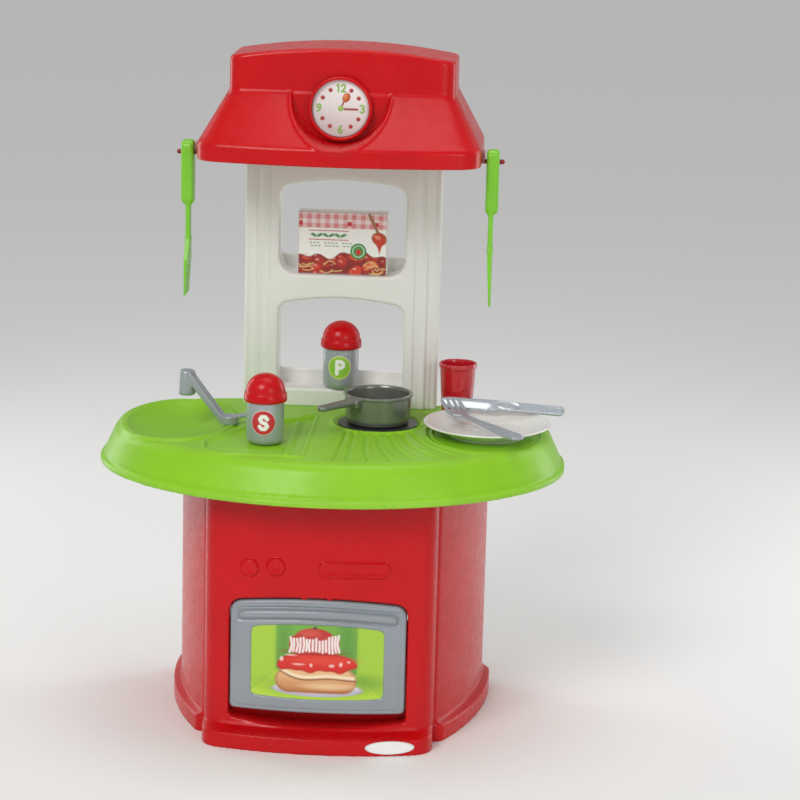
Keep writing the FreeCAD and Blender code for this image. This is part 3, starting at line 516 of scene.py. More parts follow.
def front_panel(x, y, z):
    """Bowed shell with foot skirt, knobs and bar, door opening with jambs, sill and two nubs."""
    line = 0.9 * ridge(z - SKIRT_LINE, 1.3) * ramp((92 - np.abs(x)) / 6)
    body = bowed(x, y, foot(z, SKIRT_OUT) + line)
    relief = 0.0
    for kx, kz in KNOBS:
        knob = hypot(x - kx, z - kz)
        relief = relief + 2.4 * ramp(0.5 + (7.8 - knob) / 2.2) - 1.0 * ridge(knob, 4.6)
    bar = box2(x - 31, z - 165, 31, 7, 6)
    relief = relief + 1.7 * ramp(0.5 - bar / 2.2) - 0.7 * ramp(0.5 - (bar + 3.4) / 2.0)
    raised = body - relief * (y < -80)
    shell = smooth_max(raised, -(bowed(x, y, foot(z + UNDERCUT, SKIRT_OUT)) + 3.8), 1.0)
    shell = smooth_max(shell, y - SEAM_Y, 1.5)
    hole = arched(x, z, 78, 25, 20, 132, 138, 4, 10)
    jamb = maximum(maximum(hole - 3, body), y - JAMB_Y)
    panel = smooth_max(minimum(shell, jamb), -hole, 3.2)
    sill = slab(box2(x, z - SILL_MID, 81, SILL_HALF), y, JAMB_Y, JAMB_Y + 3)
    nubs = minimum(*(hypot(off_axis(x, y, (nx, -97.5)), z - 138.5) for nx in (-12, 10)))
    panel = smooth_min(minimum(panel, sill), nubs - 2.2, 0.8)
    return maximum(maximum(panel, z - BASE_TOP), -z)


def circle_through(a, *others):
    """Centre and radius of the circle through three points in plan."""
    rows = np.array([[p[0] - a[0], p[1] - a[1]] for p in others], float)
    right = 0.5 * np.array([p[0] ** 2 + p[1] ** 2 - a[0] ** 2 - a[1] ** 2 for p in others])
    centre = np.linalg.solve(rows, right)
    return centre, math.hypot(a[0] - centre[0], a[1] - centre[1])


SIDE_CENTRE, SIDE_R = circle_through((FACE_HALF, SEAM_Y), (130, 5), (140, SIDE_BACK))


def side_panel(x, y, z):
    """The right side: curved shell with foot skirt and the ledge that holds the oven's floor."""
    def curve(out):
        return off_axis(x - out, y, SIDE_CENTRE) - SIDE_R
    skirt = curve(foot(z, SIDE_SKIRT_OUT) + 0.5 * ridge(z - SKIRT_LINE, 1.3))
    body = smooth_max(smooth_max(skirt, SEAM_Y - y, 5.5), y - SIDE_BACK, 5.0)
    inner = curve(foot(z + UNDERCUT, SIDE_SKIRT_OUT)) + 3.8
    hollow = maximum(maximum(inner, SEAM_Y + 3.8 - y), y - 104.2)
    panel = maximum(smooth_max(body, -hollow, 1.0), 90 - x)
    ledge = maximum(maximum(body, np.abs(z - 23.5) - 1.5), maximum(x - 120, 90 - x))
    return maximum(maximum(minimum(panel, ledge), z - BASE_TOP), -z)


settled(skin("front_moulding", front_panel, (-102, -115, 0), (102, -66, BASE_TOP), 1.35),
        RED, "root", "red", "front_panel")
for side, flip in (("right", False), ("left", True)):
    settled(skin("side_moulding_" + side, side_panel, (90, -66, 0), (147, SIDE_BACK, BASE_TOP), 1.5,
                 mirror=flip), RED, "root", "red", "side_panel_" + side)


# ---- oven door

def oven_door(x, y, z):
    """Bowed hollow door with a framed pane, a handle bar and two pivot pins."""
    out = hypot(x, y - FACE_CENTRE) - (FACE_R - 1)
    edge = arched(x, z, DOOR_HALF, 33.5, 33.5, 131, 137, 4, 9)
    pane = arched(x, z, 57.5, 48.5, 46.8, 109.5, 113.8, 4, 5)
    grip = arched(x, z, 70, 115.5, 120, 124.5, 129, 4.2, 4.2)
    raised = 1.6 * ramp(pane / 1.8) - 1.2 * ridge(grip - 1.0, 1.2) - 0.5 * ridge(edge + 3.4, 1.0)
    outer = smooth_max(edge, out - raised, 3.0)
    hollow = maximum(edge + 2.5, out + 3)
    shell = maximum(maximum(outer, -hollow), y + 80)
    bar = maximum(smooth_max(grip, out - 5.3, 6.0), -out - 2)
    shell = smooth_min(shell, bar, 0.8)
    pins = capsule(np.abs(x), y, z, (74.0, -84.0, 39.0), (78.5, -84.0, 39.0), 2.5)
    return minimum(shell, pins)


settled(skin("oven_door_moulding", oven_door, (-80, -106, 33), (80, -80, 137.5), 0.95),
        DOOR_GREY, "door", "door_grey", "oven_door")


# ---- back frame

# low edge, top at the corners, top in the middle, radius below, radius above, sill of the hole
OPENINGS = ((281.0, 359.0, 366.0, 4.0, 8.0, 294.0), (388.0, 468.0, 475.0, 15.0, 9.0, 402.0))
REVEAL = 57.5
FRAME_FRONT, FRAME_BACK, FRAME_HALF, FRAME_TOP = 96, 126.5, 90, 560


def back_frame(x, y, z):
    """Frame with stepped, ribbed posts and two openings, each a recess with a hole behind."""
    ax = np.abs(x)
    front = FRAME_FRONT + 2.0 * ramp((ax - 65.5) / 3) + 2.5 * ramp((ax - 77.0) / 3)
    front = front + 1.1 * ridge(ax - 73, 2.6) + 0.9 * ridge(ax - 84.5, 1.9)
    body = smooth_max(smooth_max(front - y, ax - FRAME_HALF, 4.0), y - FRAME_BACK, 2.0)
    for low, corner, mid, r_low, r_top, sill in OPENINGS:
        recess = maximum(arched(x, z, REVEAL, low, low, corner, mid, r_low, r_top), y - 124)
        window = arched(x, z, REVEAL, sill, sill, corner, mid, 4, r_top)
        body = smooth_max(smooth_max(body, -recess, 3.6), -window, 1.2)
    return maximum(maximum(body, z - FRAME_TOP), DECK_Z - z)


settled(skin("back_frame_moulding", back_frame, (-FRAME_HALF, FRAME_FRONT, 264),
             (FRAME_HALF, FRAME_BACK, FRAME_TOP), 1.4), WHITE, "root", "white", "back_frame")


# ---- hood and clock

HOOD_HALF, HOOD_BACK = 126, 130.0
BAND_LOW, BAND_TOP, BREAK_Z = 501.0, 516.0, 561.0
SCOOP_R, SCOOP_Z, SCOOP_Y = 43.0, 560.0, 44.0
CLOCK_Z, CLOCK_R = 548.0, 25.5


def hood(x, y, z):
    """Upright band, leaning roof and crown, hollow below, with a scoop round the clock."""
    lean = smooth_min(smooth_max((z - BAND_TOP) / (BREAK_Z - BAND_TOP), 0.0, 0.05), 1.0, 0.05)
    half, edge, bow = HOOD_HALF - 25 * lean, 9 + 38 * lean, 13 - 11 * lean
    slope = lean * (1 - lean) * 4
    front = edge - bow * (1 - (x / (half - 15)) ** 2)
    face = (front - y) / (1 + 0.28 * minimum(slope * 3, 1))
    side = (np.abs(x) - half) / (1 + 0.13 * minimum(slope * 3, 1))
    corner = 18 - 5 * lean
    body = smooth_max(smooth_max(face, side, 1.17 * corner), y - HOOD_BACK, 3.0)
    crown = 583 + 17 * (1 - (x / 136) ** 2)
    body = smooth_max(body, z - crown, 4.5)
    around = hypot(x, z - SCOOP_Z) - SCOOP_R
    scoop = maximum(around, y - SCOOP_Y)
    lip = 1.3 * ridge(around - 2.2, 1.5) * ramp((BREAK_Z + 4 - z) / 8)
    outer = smooth_max(body - lip, -scoop, 1.8)
    shell = smooth_max(outer, -outer - 4.2, 1.0)
    return smooth_max(shell, BAND_LOW - z, 1.5)


settled(skin("hood_moulding", hood, (-HOOD_HALF, -4, 501), (HOOD_HALF, HOOD_BACK, 600), 1.5),
        RED, "root", "red", "hood")

ring_profile = [(CLOCK_R, 0), (CLOCK_R + 3, 0), (CLOCK_R + 3, 8), (CLOCK_R, 8)]
settled(lathe("clock_ring", rounded(ring_profile, 1.3), (0, SCOOP_Y, CLOCK_Z), "Y"),
        RED, "root", "red", "clock_case")


# ---- utensils on the pegs

PEG_Y, PEG_Z = 50.0, 504.0


def utensil(x, y, z, head):
    """Handle, shaft and thinning head; head is the outline's distance in the yz plane."""
    across = y - PEG_Y
    taper = 9 - 1.6 * ramp((480 - z) / 25)
    handle = slab(box2(across * 9 / taper, z - 486, 9, 29, 7), x, 130.5, 142, 3.4)
    handle = handle + 1.0 * ridge(box2(across, z - 480, 4.2, 15, 4), 1.2) * (x > 140)
    shaft = slab(box2(across * 4.5 / (4.0 + (z - 425) / 33), z - 440, 4.5, 19), x, 133.5, 138, 1.4)
    thin = 133.5 + 2.7 * ramp((430 - z) / 60)
    blade = slab(head, x - thin / 2 + 133.5 / 2, 133.5 + (thin - 133.5) / 2,
                 138 - (thin - 133.5) / 2, 0.5)
    hole = hypot(across, z - PEG_Z) - 2.3
    return smooth_max(smooth_min(handle, smooth_min(shaft, blade, 2.0), 3.0), -hole, 0.6)


def spatula(x, y, z):
    v = y - PEG_Y
    outline = polygon2(v, z, [(-4, 427), (4, 427), (15, 412), (17, 384), (13, 375), (-13, 375),
                              (-17, 384), (-15, 412)])
    for place in (-9.0, 0.0, 9.0):
        outline = maximum(outline, -box2(v - place, z - 396.5, 1.6, 11.5, 1.5))
    return utensil(x, y, z, outline)


def serving_fork(x, y, z):
    v = y - PEG_Y
    outline = polygon2(v, z, [(-4, 427), (4, 427), (14, 408), (13, 375.2), (-13, 375.2),
                              (-14, 408)])
    for place in (-5.0, 5.0):
        outline = maximum(outline, -box2(v - place, z - 385, 2.1, 18, 2))
    return utensil(x, y, z, outline)


for node, field, flip in (("spatula", spatula, False), ("serving_fork", serving_fork, True)):
    piece = skin(node + "_moulding", field, (130.5, 32, 375), (142, 68, 515), 0.62, mirror=flip)
    settled(piece, UTENSIL_GREEN, node, "utensil_green", node)


# ---- play pieces

SHAKER_R, CAP_R = 16.5, 19.0
SALT, PEPPER = (-54.0, -44.0, 262.5), (0.0, 107.0, 281.0)
PLATE_Z = DECK_Z - RECESS


def dome_profile():
    """Cap: short skirt, brow groove and dome, over an inner hollow."""
    low, top, brow = 38.0, 62.5, 46.5
    outside = [(SHAKER_R, low + 0.02), (CAP_R - 0.9, low + 0.02), (CAP_R - 0.1, low + 0.8),
               (CAP_R, low + 2.5), (CAP_R - 0.4, low + 7.0), (CAP_R - 0.9, low + 7.9),
               (CAP_R - 1.7, low + 8.3), (CAP_R - 1.8, low + 8.8)]
    rise, wide = top - brow - 0.3, CAP_R - 1.7
    dome = [(wide * math.cos(t), brow + 0.5 + rise * math.sin(t) - 0.2)
            for t in np.linspace(0.06, math.pi / 2, 18)]
    dome[-1] = (0, top)
    inside = [(0, 54.5), (10, 51.5), (12, 41.1), (SHAKER_R, 41.05)]
    return inside + outside + dome


def body_profile():
    r = SHAKER_R
    turns = np.linspace(0, math.pi / 2, 9)
    foot_curve = [(r - 6 + 6 * math.sin(t), 6 - 6 * math.cos(t)) for t in turns]
    inside = [(r - 1.8, 41), (r - 1.8, 8), (r - 4, 3), (0, 2)]
    return [(0, 0.6), (6, 0.5), (8, 0)] + foot_curve + [(r, 38), (r, 41)] + inside


for body, place in (("salt", SALT), ("pepper", PEPPER)):
    settled(lathe(body + "_jar", body_profile(), place), SILVER, body, "silver", body + "_body")
    settled(lathe(body + "_dome", dome_profile(), place), RED, body, "red", body + "_cap")


def turn_about(x, y, centre, degrees):
    """Coordinates along and across a direction from a centre."""
    c, s = math.cos(math.radians(degrees)), math.sin(math.radians(degrees))
    return (x - centre[0]) * c + (y - centre[1]) * s, (y - centre[1]) * c - (x - centre[0]) * s


def saucepan(x, y, z):
    r, h, base = 31.5, 28.0, PLATE_Z + 2
    section = [(-1, 0), (r - 8, 0), (r - 4, 1.5), (r - 2.5, 5), (r - 1, h - 2.5), (r, h - 2),
               (r, h), (r - 2.6, h), (r - 3.4, h - 2), (r - 5, 6), (r - 7, 2.5), (-1, 2.5)]
    away = off_axis(x, y, BURNER)
    bowl = polygon2(away, z, [(a, b + base) for a, b in section])
    along, across = turn_about(x, y, BURNER, 232)
    grip = box2(along - (2 * r + 45.4) / 2, across, 24.3, 6 - 1.2 * ramp((along - 40) / 30), 5)
    handle = slab(grip, z, base + h - 6, base + h - 1.2, 1.8)
    pad = ramp(0.5 - (grip + 3.0) / 1.4)
    handle = handle + 0.9 * pad * (z > base + h - 4) * ramp((along - 36) / 5)
    boss = slab(box2(along - r - 1.5, across, 4, 7.5, 2), z, base + h - 9, base + h - 0.6, 1.6)
    inside = maximum(away - (r - 2), base - z)
    outside = smooth_max(smooth_min(handle, boss, 2.5), -inside, 0.6)
    return smooth_min(bowl, outside, 0.9)


settled(skin("saucepan_moulding", saucepan, (-12, -25, 264.5), (72, 72, 292.5), 0.72),
        PAN_GREY, "saucepan", "pan_grey", "saucepan")

CUP = (109.5, 84.5)
cup_profile = rounded([(0, 264), (13.0, 264), (13.9, 265.2), (16.4, 308), (17.4, 309.2),
                       (17.4, 313), (15.5, 313), (15.0, 309), (12.3, 266.4), (0, 266.2)], 0.8)
settled(lathe("cup_moulding", cup_profile, CUP + (0,)), CLEAR_RED, "cup", "red", "cup")

PLATE, PLATE_R = (139.0, 15.0), 57.0
plate_profile = rounded([(0, 1.5), (33, 1.5), (33.2, 0), (35.5, 0), (36.4, 2), (50, 8),
                         (PLATE_R - 0.6, 10.8), (PLATE_R, 11.4), (PLATE_R - 0.6, 12.5),
                         (50, 10), (36, 4.4), (30, 3.8), (0, 3.7)], 2.2)
plate_profile = [(r, h + PLATE_Z) for r, h in plate_profile]
settled(lathe("plate_moulding", plate_profile, PLATE + (0,), segments=144),
        PLATE_WHITE, "plate", "plate_white", "plate")


def local(x, y, z, rotation, origin):
    """Coordinates in a frame that is turned and moved."""
    back = np.array(rotation.transposed())
    d = (x - origin[0], y - origin[1], z - origin[2])
    return [back[i][0] * d[0] + back[i][1] * d[1] + back[i][2] * d[2] for i in range(3)]


def turned(degrees, axis):
    return Matrix.Rotation(math.radians(degrees), 3, axis)


KNIFE_TURN = turned(-7.0, "Z") @ turned(1.0, "Y") @ turned(52.0, "X")
FORK_TURN = turned(-57.0, "Z")
KNIFE_AT, FORK_AT = (95.0, 62.0, PLATE_Z + 18.1), (104.0, 47.0, PLATE_Z + 12.9)


def dinner_knife(x, y, z):
    u, v, w = local(x, y, z, KNIFE_TURN, KNIFE_AT)
    outline = polygon2(u, v, [(0, 3.4), (2, -1.4), (10, -6), (50, -6.2), (55, -4.5), (111, -5),
                              (114, -3), (114.5, 1), (112, 4.5), (60, 5), (50, 5.3), (8, 5.0)])
    thin = 1.1 * ramp((50 - u) / 8) * ramp((2 - v) / 7)
    knife = slab(outline, w, 0, 3.0, 1.2) + thin * (w > 1.5)
    inlay = box2(u - 105, v + 0.2, 6.5, 2.6, 2.4)
    oval = hypot((u - 62) / 9, v / 3.6) - 1
    knife = knife + 0.5 * ramp(0.5 - inlay / 0.8) * (w > 1.5)
    return knife + 0.4 * ridge(oval * 4, 0.8) * (w > 1.5)


def dinner_fork(x, y, z):
    u, v, w = local(x, y, z, FORK_TURN, FORK_AT)
    rise = 11 * clip(1 - u / 25, 0, 1.2) ** 2
    tall = w - rise
    edge = [(0.5, 10.2), (14, 10.5), (21, 8), (26, 2.8), (48, 3.2), (80, 5.8), (110, 7.6), (117, 6),
            (119, 2.5)]
    outline = polygon2(u, v, edge + [(a, -b) for a, b in edge[::-1]])
    for slit in (-5.4, 0.0, 5.4):
        outline = maximum(outline, -box2(u - 3, v - slit, 10.5, 1.15, 1.1))
    thick = 1.7 + 1.2 * ramp(u / 28)
    fork = slab(outline, tall * 2.9 / thick, 0, 2.9, 1.0) / 1.15
    inlay = box2(u - 110, v, 6.0, 2.8, 2.4)
    return fork + 0.5 * ramp(0.5 - inlay / 0.8) * (tall > 1.4)


settled(skin("dinner_knife_moulding", dinner_knife, (95, 43, 274), (209, 65, 287), 0.6),
        SILVER, "dinner_knife", "silver", "dinner_knife")
settled(skin("dinner_fork_moulding", dinner_fork, (94, -58, 276), (175, 55, 291), 0.62),
        SILVER, "dinner_fork", "silver", "dinner_fork")


# ---- faucet

FAUCET, NOZZLE = (-92.0, 14.0), (-133.0, 30.0)
REACH = math.hypot(NOZZLE[0] - FAUCET[0], NOZZLE[1] - FAUCET[1])
ARM_TURN = math.degrees(math.atan2(NOZZLE[1] - FAUCET[1], NOZZLE[0] - FAUCET[0]))


def faucet_spout(x, y, z):
    """Foot disc, rising arm with sunk sides, and an upright nozzle with a bore."""
    along, across = turn_about(x, y, FAUCET, ARM_TURN)
    up = z - DECK_Z
    foot_disc = slab(hypot(along, across) - 8, up, 0, 8, 1.5)
    profile = polygon2(along, up, [(-5, 0.5), (7, 8), (REACH - 4, 44), (REACH + 4, 44),
                                   (REACH + 4, 38), (REACH - 2, 36), (8, 0.5)])
    arm = slab(profile, across, -4.5, 4.5, 1.3)
    inner = ramp(0.5 - (np.abs(across) - 2.2) / 0.8)
    arm = arm + 0.7 * inner * ramp(0.5 + (profile + 1.6) / 0.8)
    wide = 8 - 0.8 * ramp((up - 24) / 20)
    away = off_axis(x, y, NOZZLE)
    nozzle = slab(away - wide, up, 22, 45, 2.6)
    spout = smooth_min(smooth_min(foot_disc, arm, 1.5), nozzle, 1.5)
    bore = maximum(away - 5.5, up - 35)
    return smooth_max(spout, -bore, 0.6)


def faucet_lever(x, y, z):
    along, across = turn_about(x, y, FAUCET, 8.0)
    profile = polygon2(along, z - DECK_Z, [(3.5, 5), (30, 9), (31, 12), (28, 12), (3.5, 8)])
    half = 4 - 0.9 * ramp(along / 30)
    return slab(profile, across, -half, half, 0.9)


settled(skin("faucet_spout_moulding", faucet_spout, (-142, 4, 264), (-82, 40, 309), 0.62),
        SILVER, "faucet", "silver", "faucet_spout")
settled(skin("faucet_lever_moulding", faucet_lever, (-90, 8, 267), (-59, 24, 277), 0.5),
        SILVER, "faucet", "silver", "faucet_lever")


# ---- printed pieces

class Print:
    """Colours painted on a sheet, point by point, from shapes in mm."""

    def __init__(self, u, v, base):
        self.u, self.v = u, v
        self.colour = np.ones(u.shape + (3,)) * np.array(rgb(base))

    def fill(self, distance, colour, soft=0.35, strength=1.0):
        amount = clip(0.5 - distance / (2 * soft), 0, 1) * strength
        target = np.array(rgb(colour)) if isinstance(colour, str) else np.stack(colour, -1)
        self.colour += (target - self.colour) * amount[..., None]

    def ovals(self, *rows):
        """Each row: centre, half axes, colour, then if wanted soft, strength and turn."""
        for centre, a, b, colour, *more in rows:
            turn = more.pop() if len(more) > 2 else 0.0
            self.fill(self.oval_distance(centre, a, b, turn), colour, *more)

    def oval_distance(self, centre, a, b, turn=0.0):
        p, q = turn_about(self.u, self.v, centre, turn)
        size = np.sqrt((p / a) ** 2 + (q / b) ** 2)
        return (size - 1) * min(a, b) * clip(size, 0.6, 1.2)

    def stroke(self, points, width, colour, soft=0.3):
        self.fill(line2(self.u, self.v, points) - width / 2, colour, soft)

    def shape(self, points, colour, soft=0.35):
        self.fill(polygon2(self.u, self.v, points), colour, soft)

    def glyph(self, strokes, centre, wide, tall, width, colour):
        """One line through points given in a unit square."""
        placed = [(centre[0] + (a - 0.5) * wide, centre[1] + (b - 0.5) * tall)
                  for a, b in strokes]
        self.stroke(placed, width, colour)


GLYPHS = {
    "1": [(0.3, 0.8), (0.6, 1), (0.6, 0)],
    "2": [(0.08, 0.76), (0.3, 0.98), (0.7, 0.98), (0.9, 0.75), (0.78, 0.5), (0.1, 0), (0.95, 0)],
    "3": [(0.08, 0.93), (0.5, 1), (0.88, 0.8), (0.75, 0.58), (0.45, 0.52), (0.85, 0.42),
          (0.93, 0.18), (0.6, 0), (0.08, 0.07)],
    "6": [(0.82, 0.97), (0.4, 0.82), (0.12, 0.42), (0.18, 0.1), (0.5, 0), (0.85, 0.12),
          (0.88, 0.38), (0.6, 0.52), (0.2, 0.42)],
    "S": [(0.9, 0.78), (0.68, 0.97), (0.32, 0.97), (0.12, 0.78), (0.28, 0.56), (0.72, 0.44),
          (0.9, 0.22), (0.68, 0.03), (0.3, 0.03), (0.08, 0.2)],
    "P": [(0.2, 0), (0.2, 1), (0.65, 1), (0.9, 0.86), (0.9, 0.62), (0.65, 0.48), (0.2, 0.48)],
}
GLYPHS["9"] = [(1 - a, 1 - b) for a, b in GLYPHS["6"]]


def printed_sheet(name, spread_uv, cells, paint, place, thick):
    """Thin sheet with its own colours: spread_uv maps -1..1 squared to mm, place bends it."""
    count_u, count_v = (max(8, int(c / COARSE)) for c in cells)
    a, b = np.meshgrid(np.linspace(-1, 1, count_u + 1), np.linspace(-1, 1, count_v + 1),
                       indexing="ij")
    u, v = spread_uv(a, b)
    colours = paint(u, v)
    verts = np.stack(place(u.ravel(), v.ravel()), 1)
    index = np.arange(verts.shape[0]).reshape(count_u + 1, count_v + 1)
    corners = [index[:-1, :-1], index[1:, :-1], index[1:, 1:], index[:-1, 1:]]
    piece = new_object(name, verts, np.stack(corners, -1).reshape(-1, 4))
    attribute = piece.data.color_attributes.new("print", "FLOAT_COLOR", "POINT")
    values = np.concatenate([colours.reshape(-1, 3), np.ones((verts.shape[0], 1))], 1)
    attribute.data.foreach_set("color", values.astype(np.float32).ravel())
    solid = piece.modifiers.new("thickness", "SOLIDIFY")
    solid.thickness, solid.offset = thick * MM, -1
    return piece


def disc(radius_u, radius_v, centre=(0, 0)):
    """Maps a square onto an oval, with even cells."""
    def spread_uv(a, b):
        return (centre[0] + radius_u * a * np.sqrt(1 - b * b / 2),
                centre[1] + radius_v * b * np.sqrt(1 - a * a / 2))
    return spread_uv


HOUR_RING, DOT = 18.4, 1.9              # dots for the plain hours


def clock_face(u, v):
    """White dial, red dots, green numerals, and hands drawn as a spoon and a skewer."""
    art = Print(u, v, "F4F3F0")
    shade = clip(0.5 - (v + 0.35 * u) / 46, 0, 1)
    art.colour *= (1 - 0.30 * shade ** 1.6)[..., None]
    away = hypot(u, v)
    # painted shade: a greyer band round the dial's edge, in place of a bevel's shading
    art.fill(23.6 - away, "C9C9CB", soft=0.8, strength=0.8)
    for hour in range(12):
        turn = math.radians(90 - 30 * hour)
        if hour % 3:
            at = (HOUR_RING * math.cos(turn), HOUR_RING * math.sin(turn))
            art.ovals((at, DOT, DOT, "9E2A2C"),
                      ((at[0] - 0.4, at[1] + 0.5), 0.9, 0.8, "D0524E", 0.6))
    for text, centre in (("1", (-2.6, 18.0)), ("2", (2.2, 18.0)), ("3", (19.2, 0)),
                         ("6", (0, -18.6)), ("9", (-19.2, 0))):
        art.glyph(GLYPHS[text], centre, 4.0, 6.4, 1.5, "6FB33A")
        art.glyph(GLYPHS[text], (centre[0] - 0.2, centre[1] + 0.2), 4.0, 6.4, 0.45, "A9D66B")
    art.stroke([(0, 0), (3.2, 6.6)], 1.3, "8E2B22")
    art.ovals(((5.0, 9.6), 3.4, 4.4, "C4592E", 0.35, 1.0, -28),
              ((4.2, 10.6), 1.6, 2.4, "E79A62", 0.9, 1.0, -28))
    art.stroke([(0, -0.4), (15.5, -0.8)], 1.1, "7E1F24")
    for step in range(5):
        art.ovals(((4.5 + 2.3 * step, -0.6), 1.0, 1.25, "A12C30"))
    art.ovals(((0, 0), 2.5, 2.5, "8CC63F"), ((-0.6, 0.6), 1.1, 1.0, "C6E69A", 0.7))
    return art.colour


def shaker_label(letter, outer, inner):
    """Round label: pale rim, coloured ring and disc, and one letter."""
    def paint(u, v):
        art = Print(u, v, outer)
        art.fill(9.3 - hypot(u, v), inner, soft=0.5)
        art.glyph(GLYPHS[letter], (0.2, 0), 8.0, 11.5, 3.4, "F7F5F0")
        art.fill(10.6 - hypot(u, v), "F0EFEA", soft=0.2)
        return art.colour
    return paint


def oven_picture(u, v):
    """Cream cake on a plate in a green oven."""
    v = 50 + (v - 50) * 1.05
    art = Print(u, v, "6FA63C")
    art.colour *= (0.84 + 0.28 * clip((v - 60) / 55, 0, 1))[..., None]
    art.fill(np.abs(u + 29) - 4, "4E8F3A", soft=6, strength=0.55)
    art.fill(np.abs(u - 26) - 5, "4A8A3A", soft=7, strength=0.6)
    art.shape([(-70, 30), (-70, 130), (-36, 124), (-36, 73), (-64, 48)], "A9D23A", soft=0.5)
    art.fill(maximum(np.abs(u + 36) - 0.4, 73 - v), "7DB23A", soft=3, strength=0.7)
    art.shape([(70, 30), (70, 130), (35, 124), (35, 71), (62, 46)], "A6D03A", soft=0.5)
    art.fill(maximum(np.abs(u - 35) - 0.4, 71 - v), "7DB23A", soft=3, strength=0.7)
    art.shape([(-66, 46), (-36, 73), (35, 71), (64, 44), (70, 20), (-70, 20)], "B6DB38", soft=1.5)
    art.ovals(((36, 64), 14, 5, "5E9A2C", 6, 0.8), ((2, 60), 44, 9, "6FA52E", 6, 0.7),
              ((0.5, 55.2), 39.5, 6.4, "BDB8CE"), ((0.5, 56.2), 37.8, 5.6, "E6E3F0"),
              ((1, 55.0), 34, 3.8, "84747E", 1.6, 0.7))
    bun = box2(u + 0.8, v - 64.2, 35.6, 11.8, 11.5)
    lit = clip((v - 53) / 20, 0, 1)
    brown = [lit * a + (1 - lit) * b for a, b in zip(rgb("F0C08C"), rgb("C07A40"))]
    art.fill(bun, brown)
    art.fill(maximum(bun, -bun - 1.6), "8F4E22", soft=1.3, strength=0.6)
    split = 65.5 + 7 * np.exp(-((u + 38) / 13) ** 2) + 0.8 * np.sin(u / 7)
    art.fill(maximum(np.abs(v - split - 2.6) - 1.4, bun + 1), "FBE8C4", soft=0.9)
    art.fill(maximum(np.abs(v - split) - 0.7, bun + 0.8), "7A3E1E", soft=0.8, strength=0.9)
    art.ovals(((10, 59), 19, 2.6, "F8D2A4", 2.0, 0.9))
    top = 78 + 13 * maximum(1 - np.abs((u - 0.3) / 35.5) ** 2.6, 0) ** 0.5
    low = 73.0 + 4.5 * (u / 35) ** 6 + 1.1 * np.sin(u / 4.2) + 0.6 * np.sin(u / 2.1 + 1)
    glaze = maximum(maximum(v - top, low - v), np.abs(u - 0.3) - 35.2)
    art.fill(glaze, "DA2418")
    art.fill(maximum(glaze, -glaze - 1.6), "A01210", soft=1.2, strength=0.55)
    art.ovals(((6, 84), 22, 3.4, "EC4A34", 3.0, 0.8))
    for at, a, b in (((-31, 84), 1.6, 2.2), ((-16, 79.5), 4.2, 0.8), ((-5, 79), 1.2, 1.6),
                     ((13, 79), 2.2, 1.3), ((21, 80.5), 1.4, 2.0), ((28, 83), 1.2, 1.0),
                     ((-23, 88), 4.0, 0.7)):
        art.ovals((at, a, b, "FFDCD4", 0.6, 0.9))
    art.ovals(((-2.5, 91.5), 24, 2.6, "8E1410", 1.6, 0.7), ((-2.5, 103.5), 18, 11.0, "BE2C24"),
              ((-6, 109), 8, 3.6, "E2604E", 2.5, 0.8))
    art.fill(box2(u + 2.5, v - 98.5, 22.0, 8.0, 4), "C23A30")
    dice = np.random.default_rng(3)
    for k in range(16):
        at = -24 + 2.9 * k
        lean = (at + 2.5) / 22
        foot_v = 91.5 + dice.uniform(-0.8, 1.4)
        top_v = 104.0 + 2.2 * lean * lean + dice.uniform(-2.2, 2.4)
        bend = (at * 0.94 + dice.uniform(-0.9, 0.9), (foot_v + top_v) / 2)
        art.stroke([(at, foot_v), bend, (at * 0.97, top_v)], 1.75, "FCF4F0", soft=0.6)
    art.ovals(((-2.2, 115.2), 1.8, 1.5, "33222A"), ((-2.8, 115.7), 0.6, 0.5, "C9C2C4"))
    return art.colour


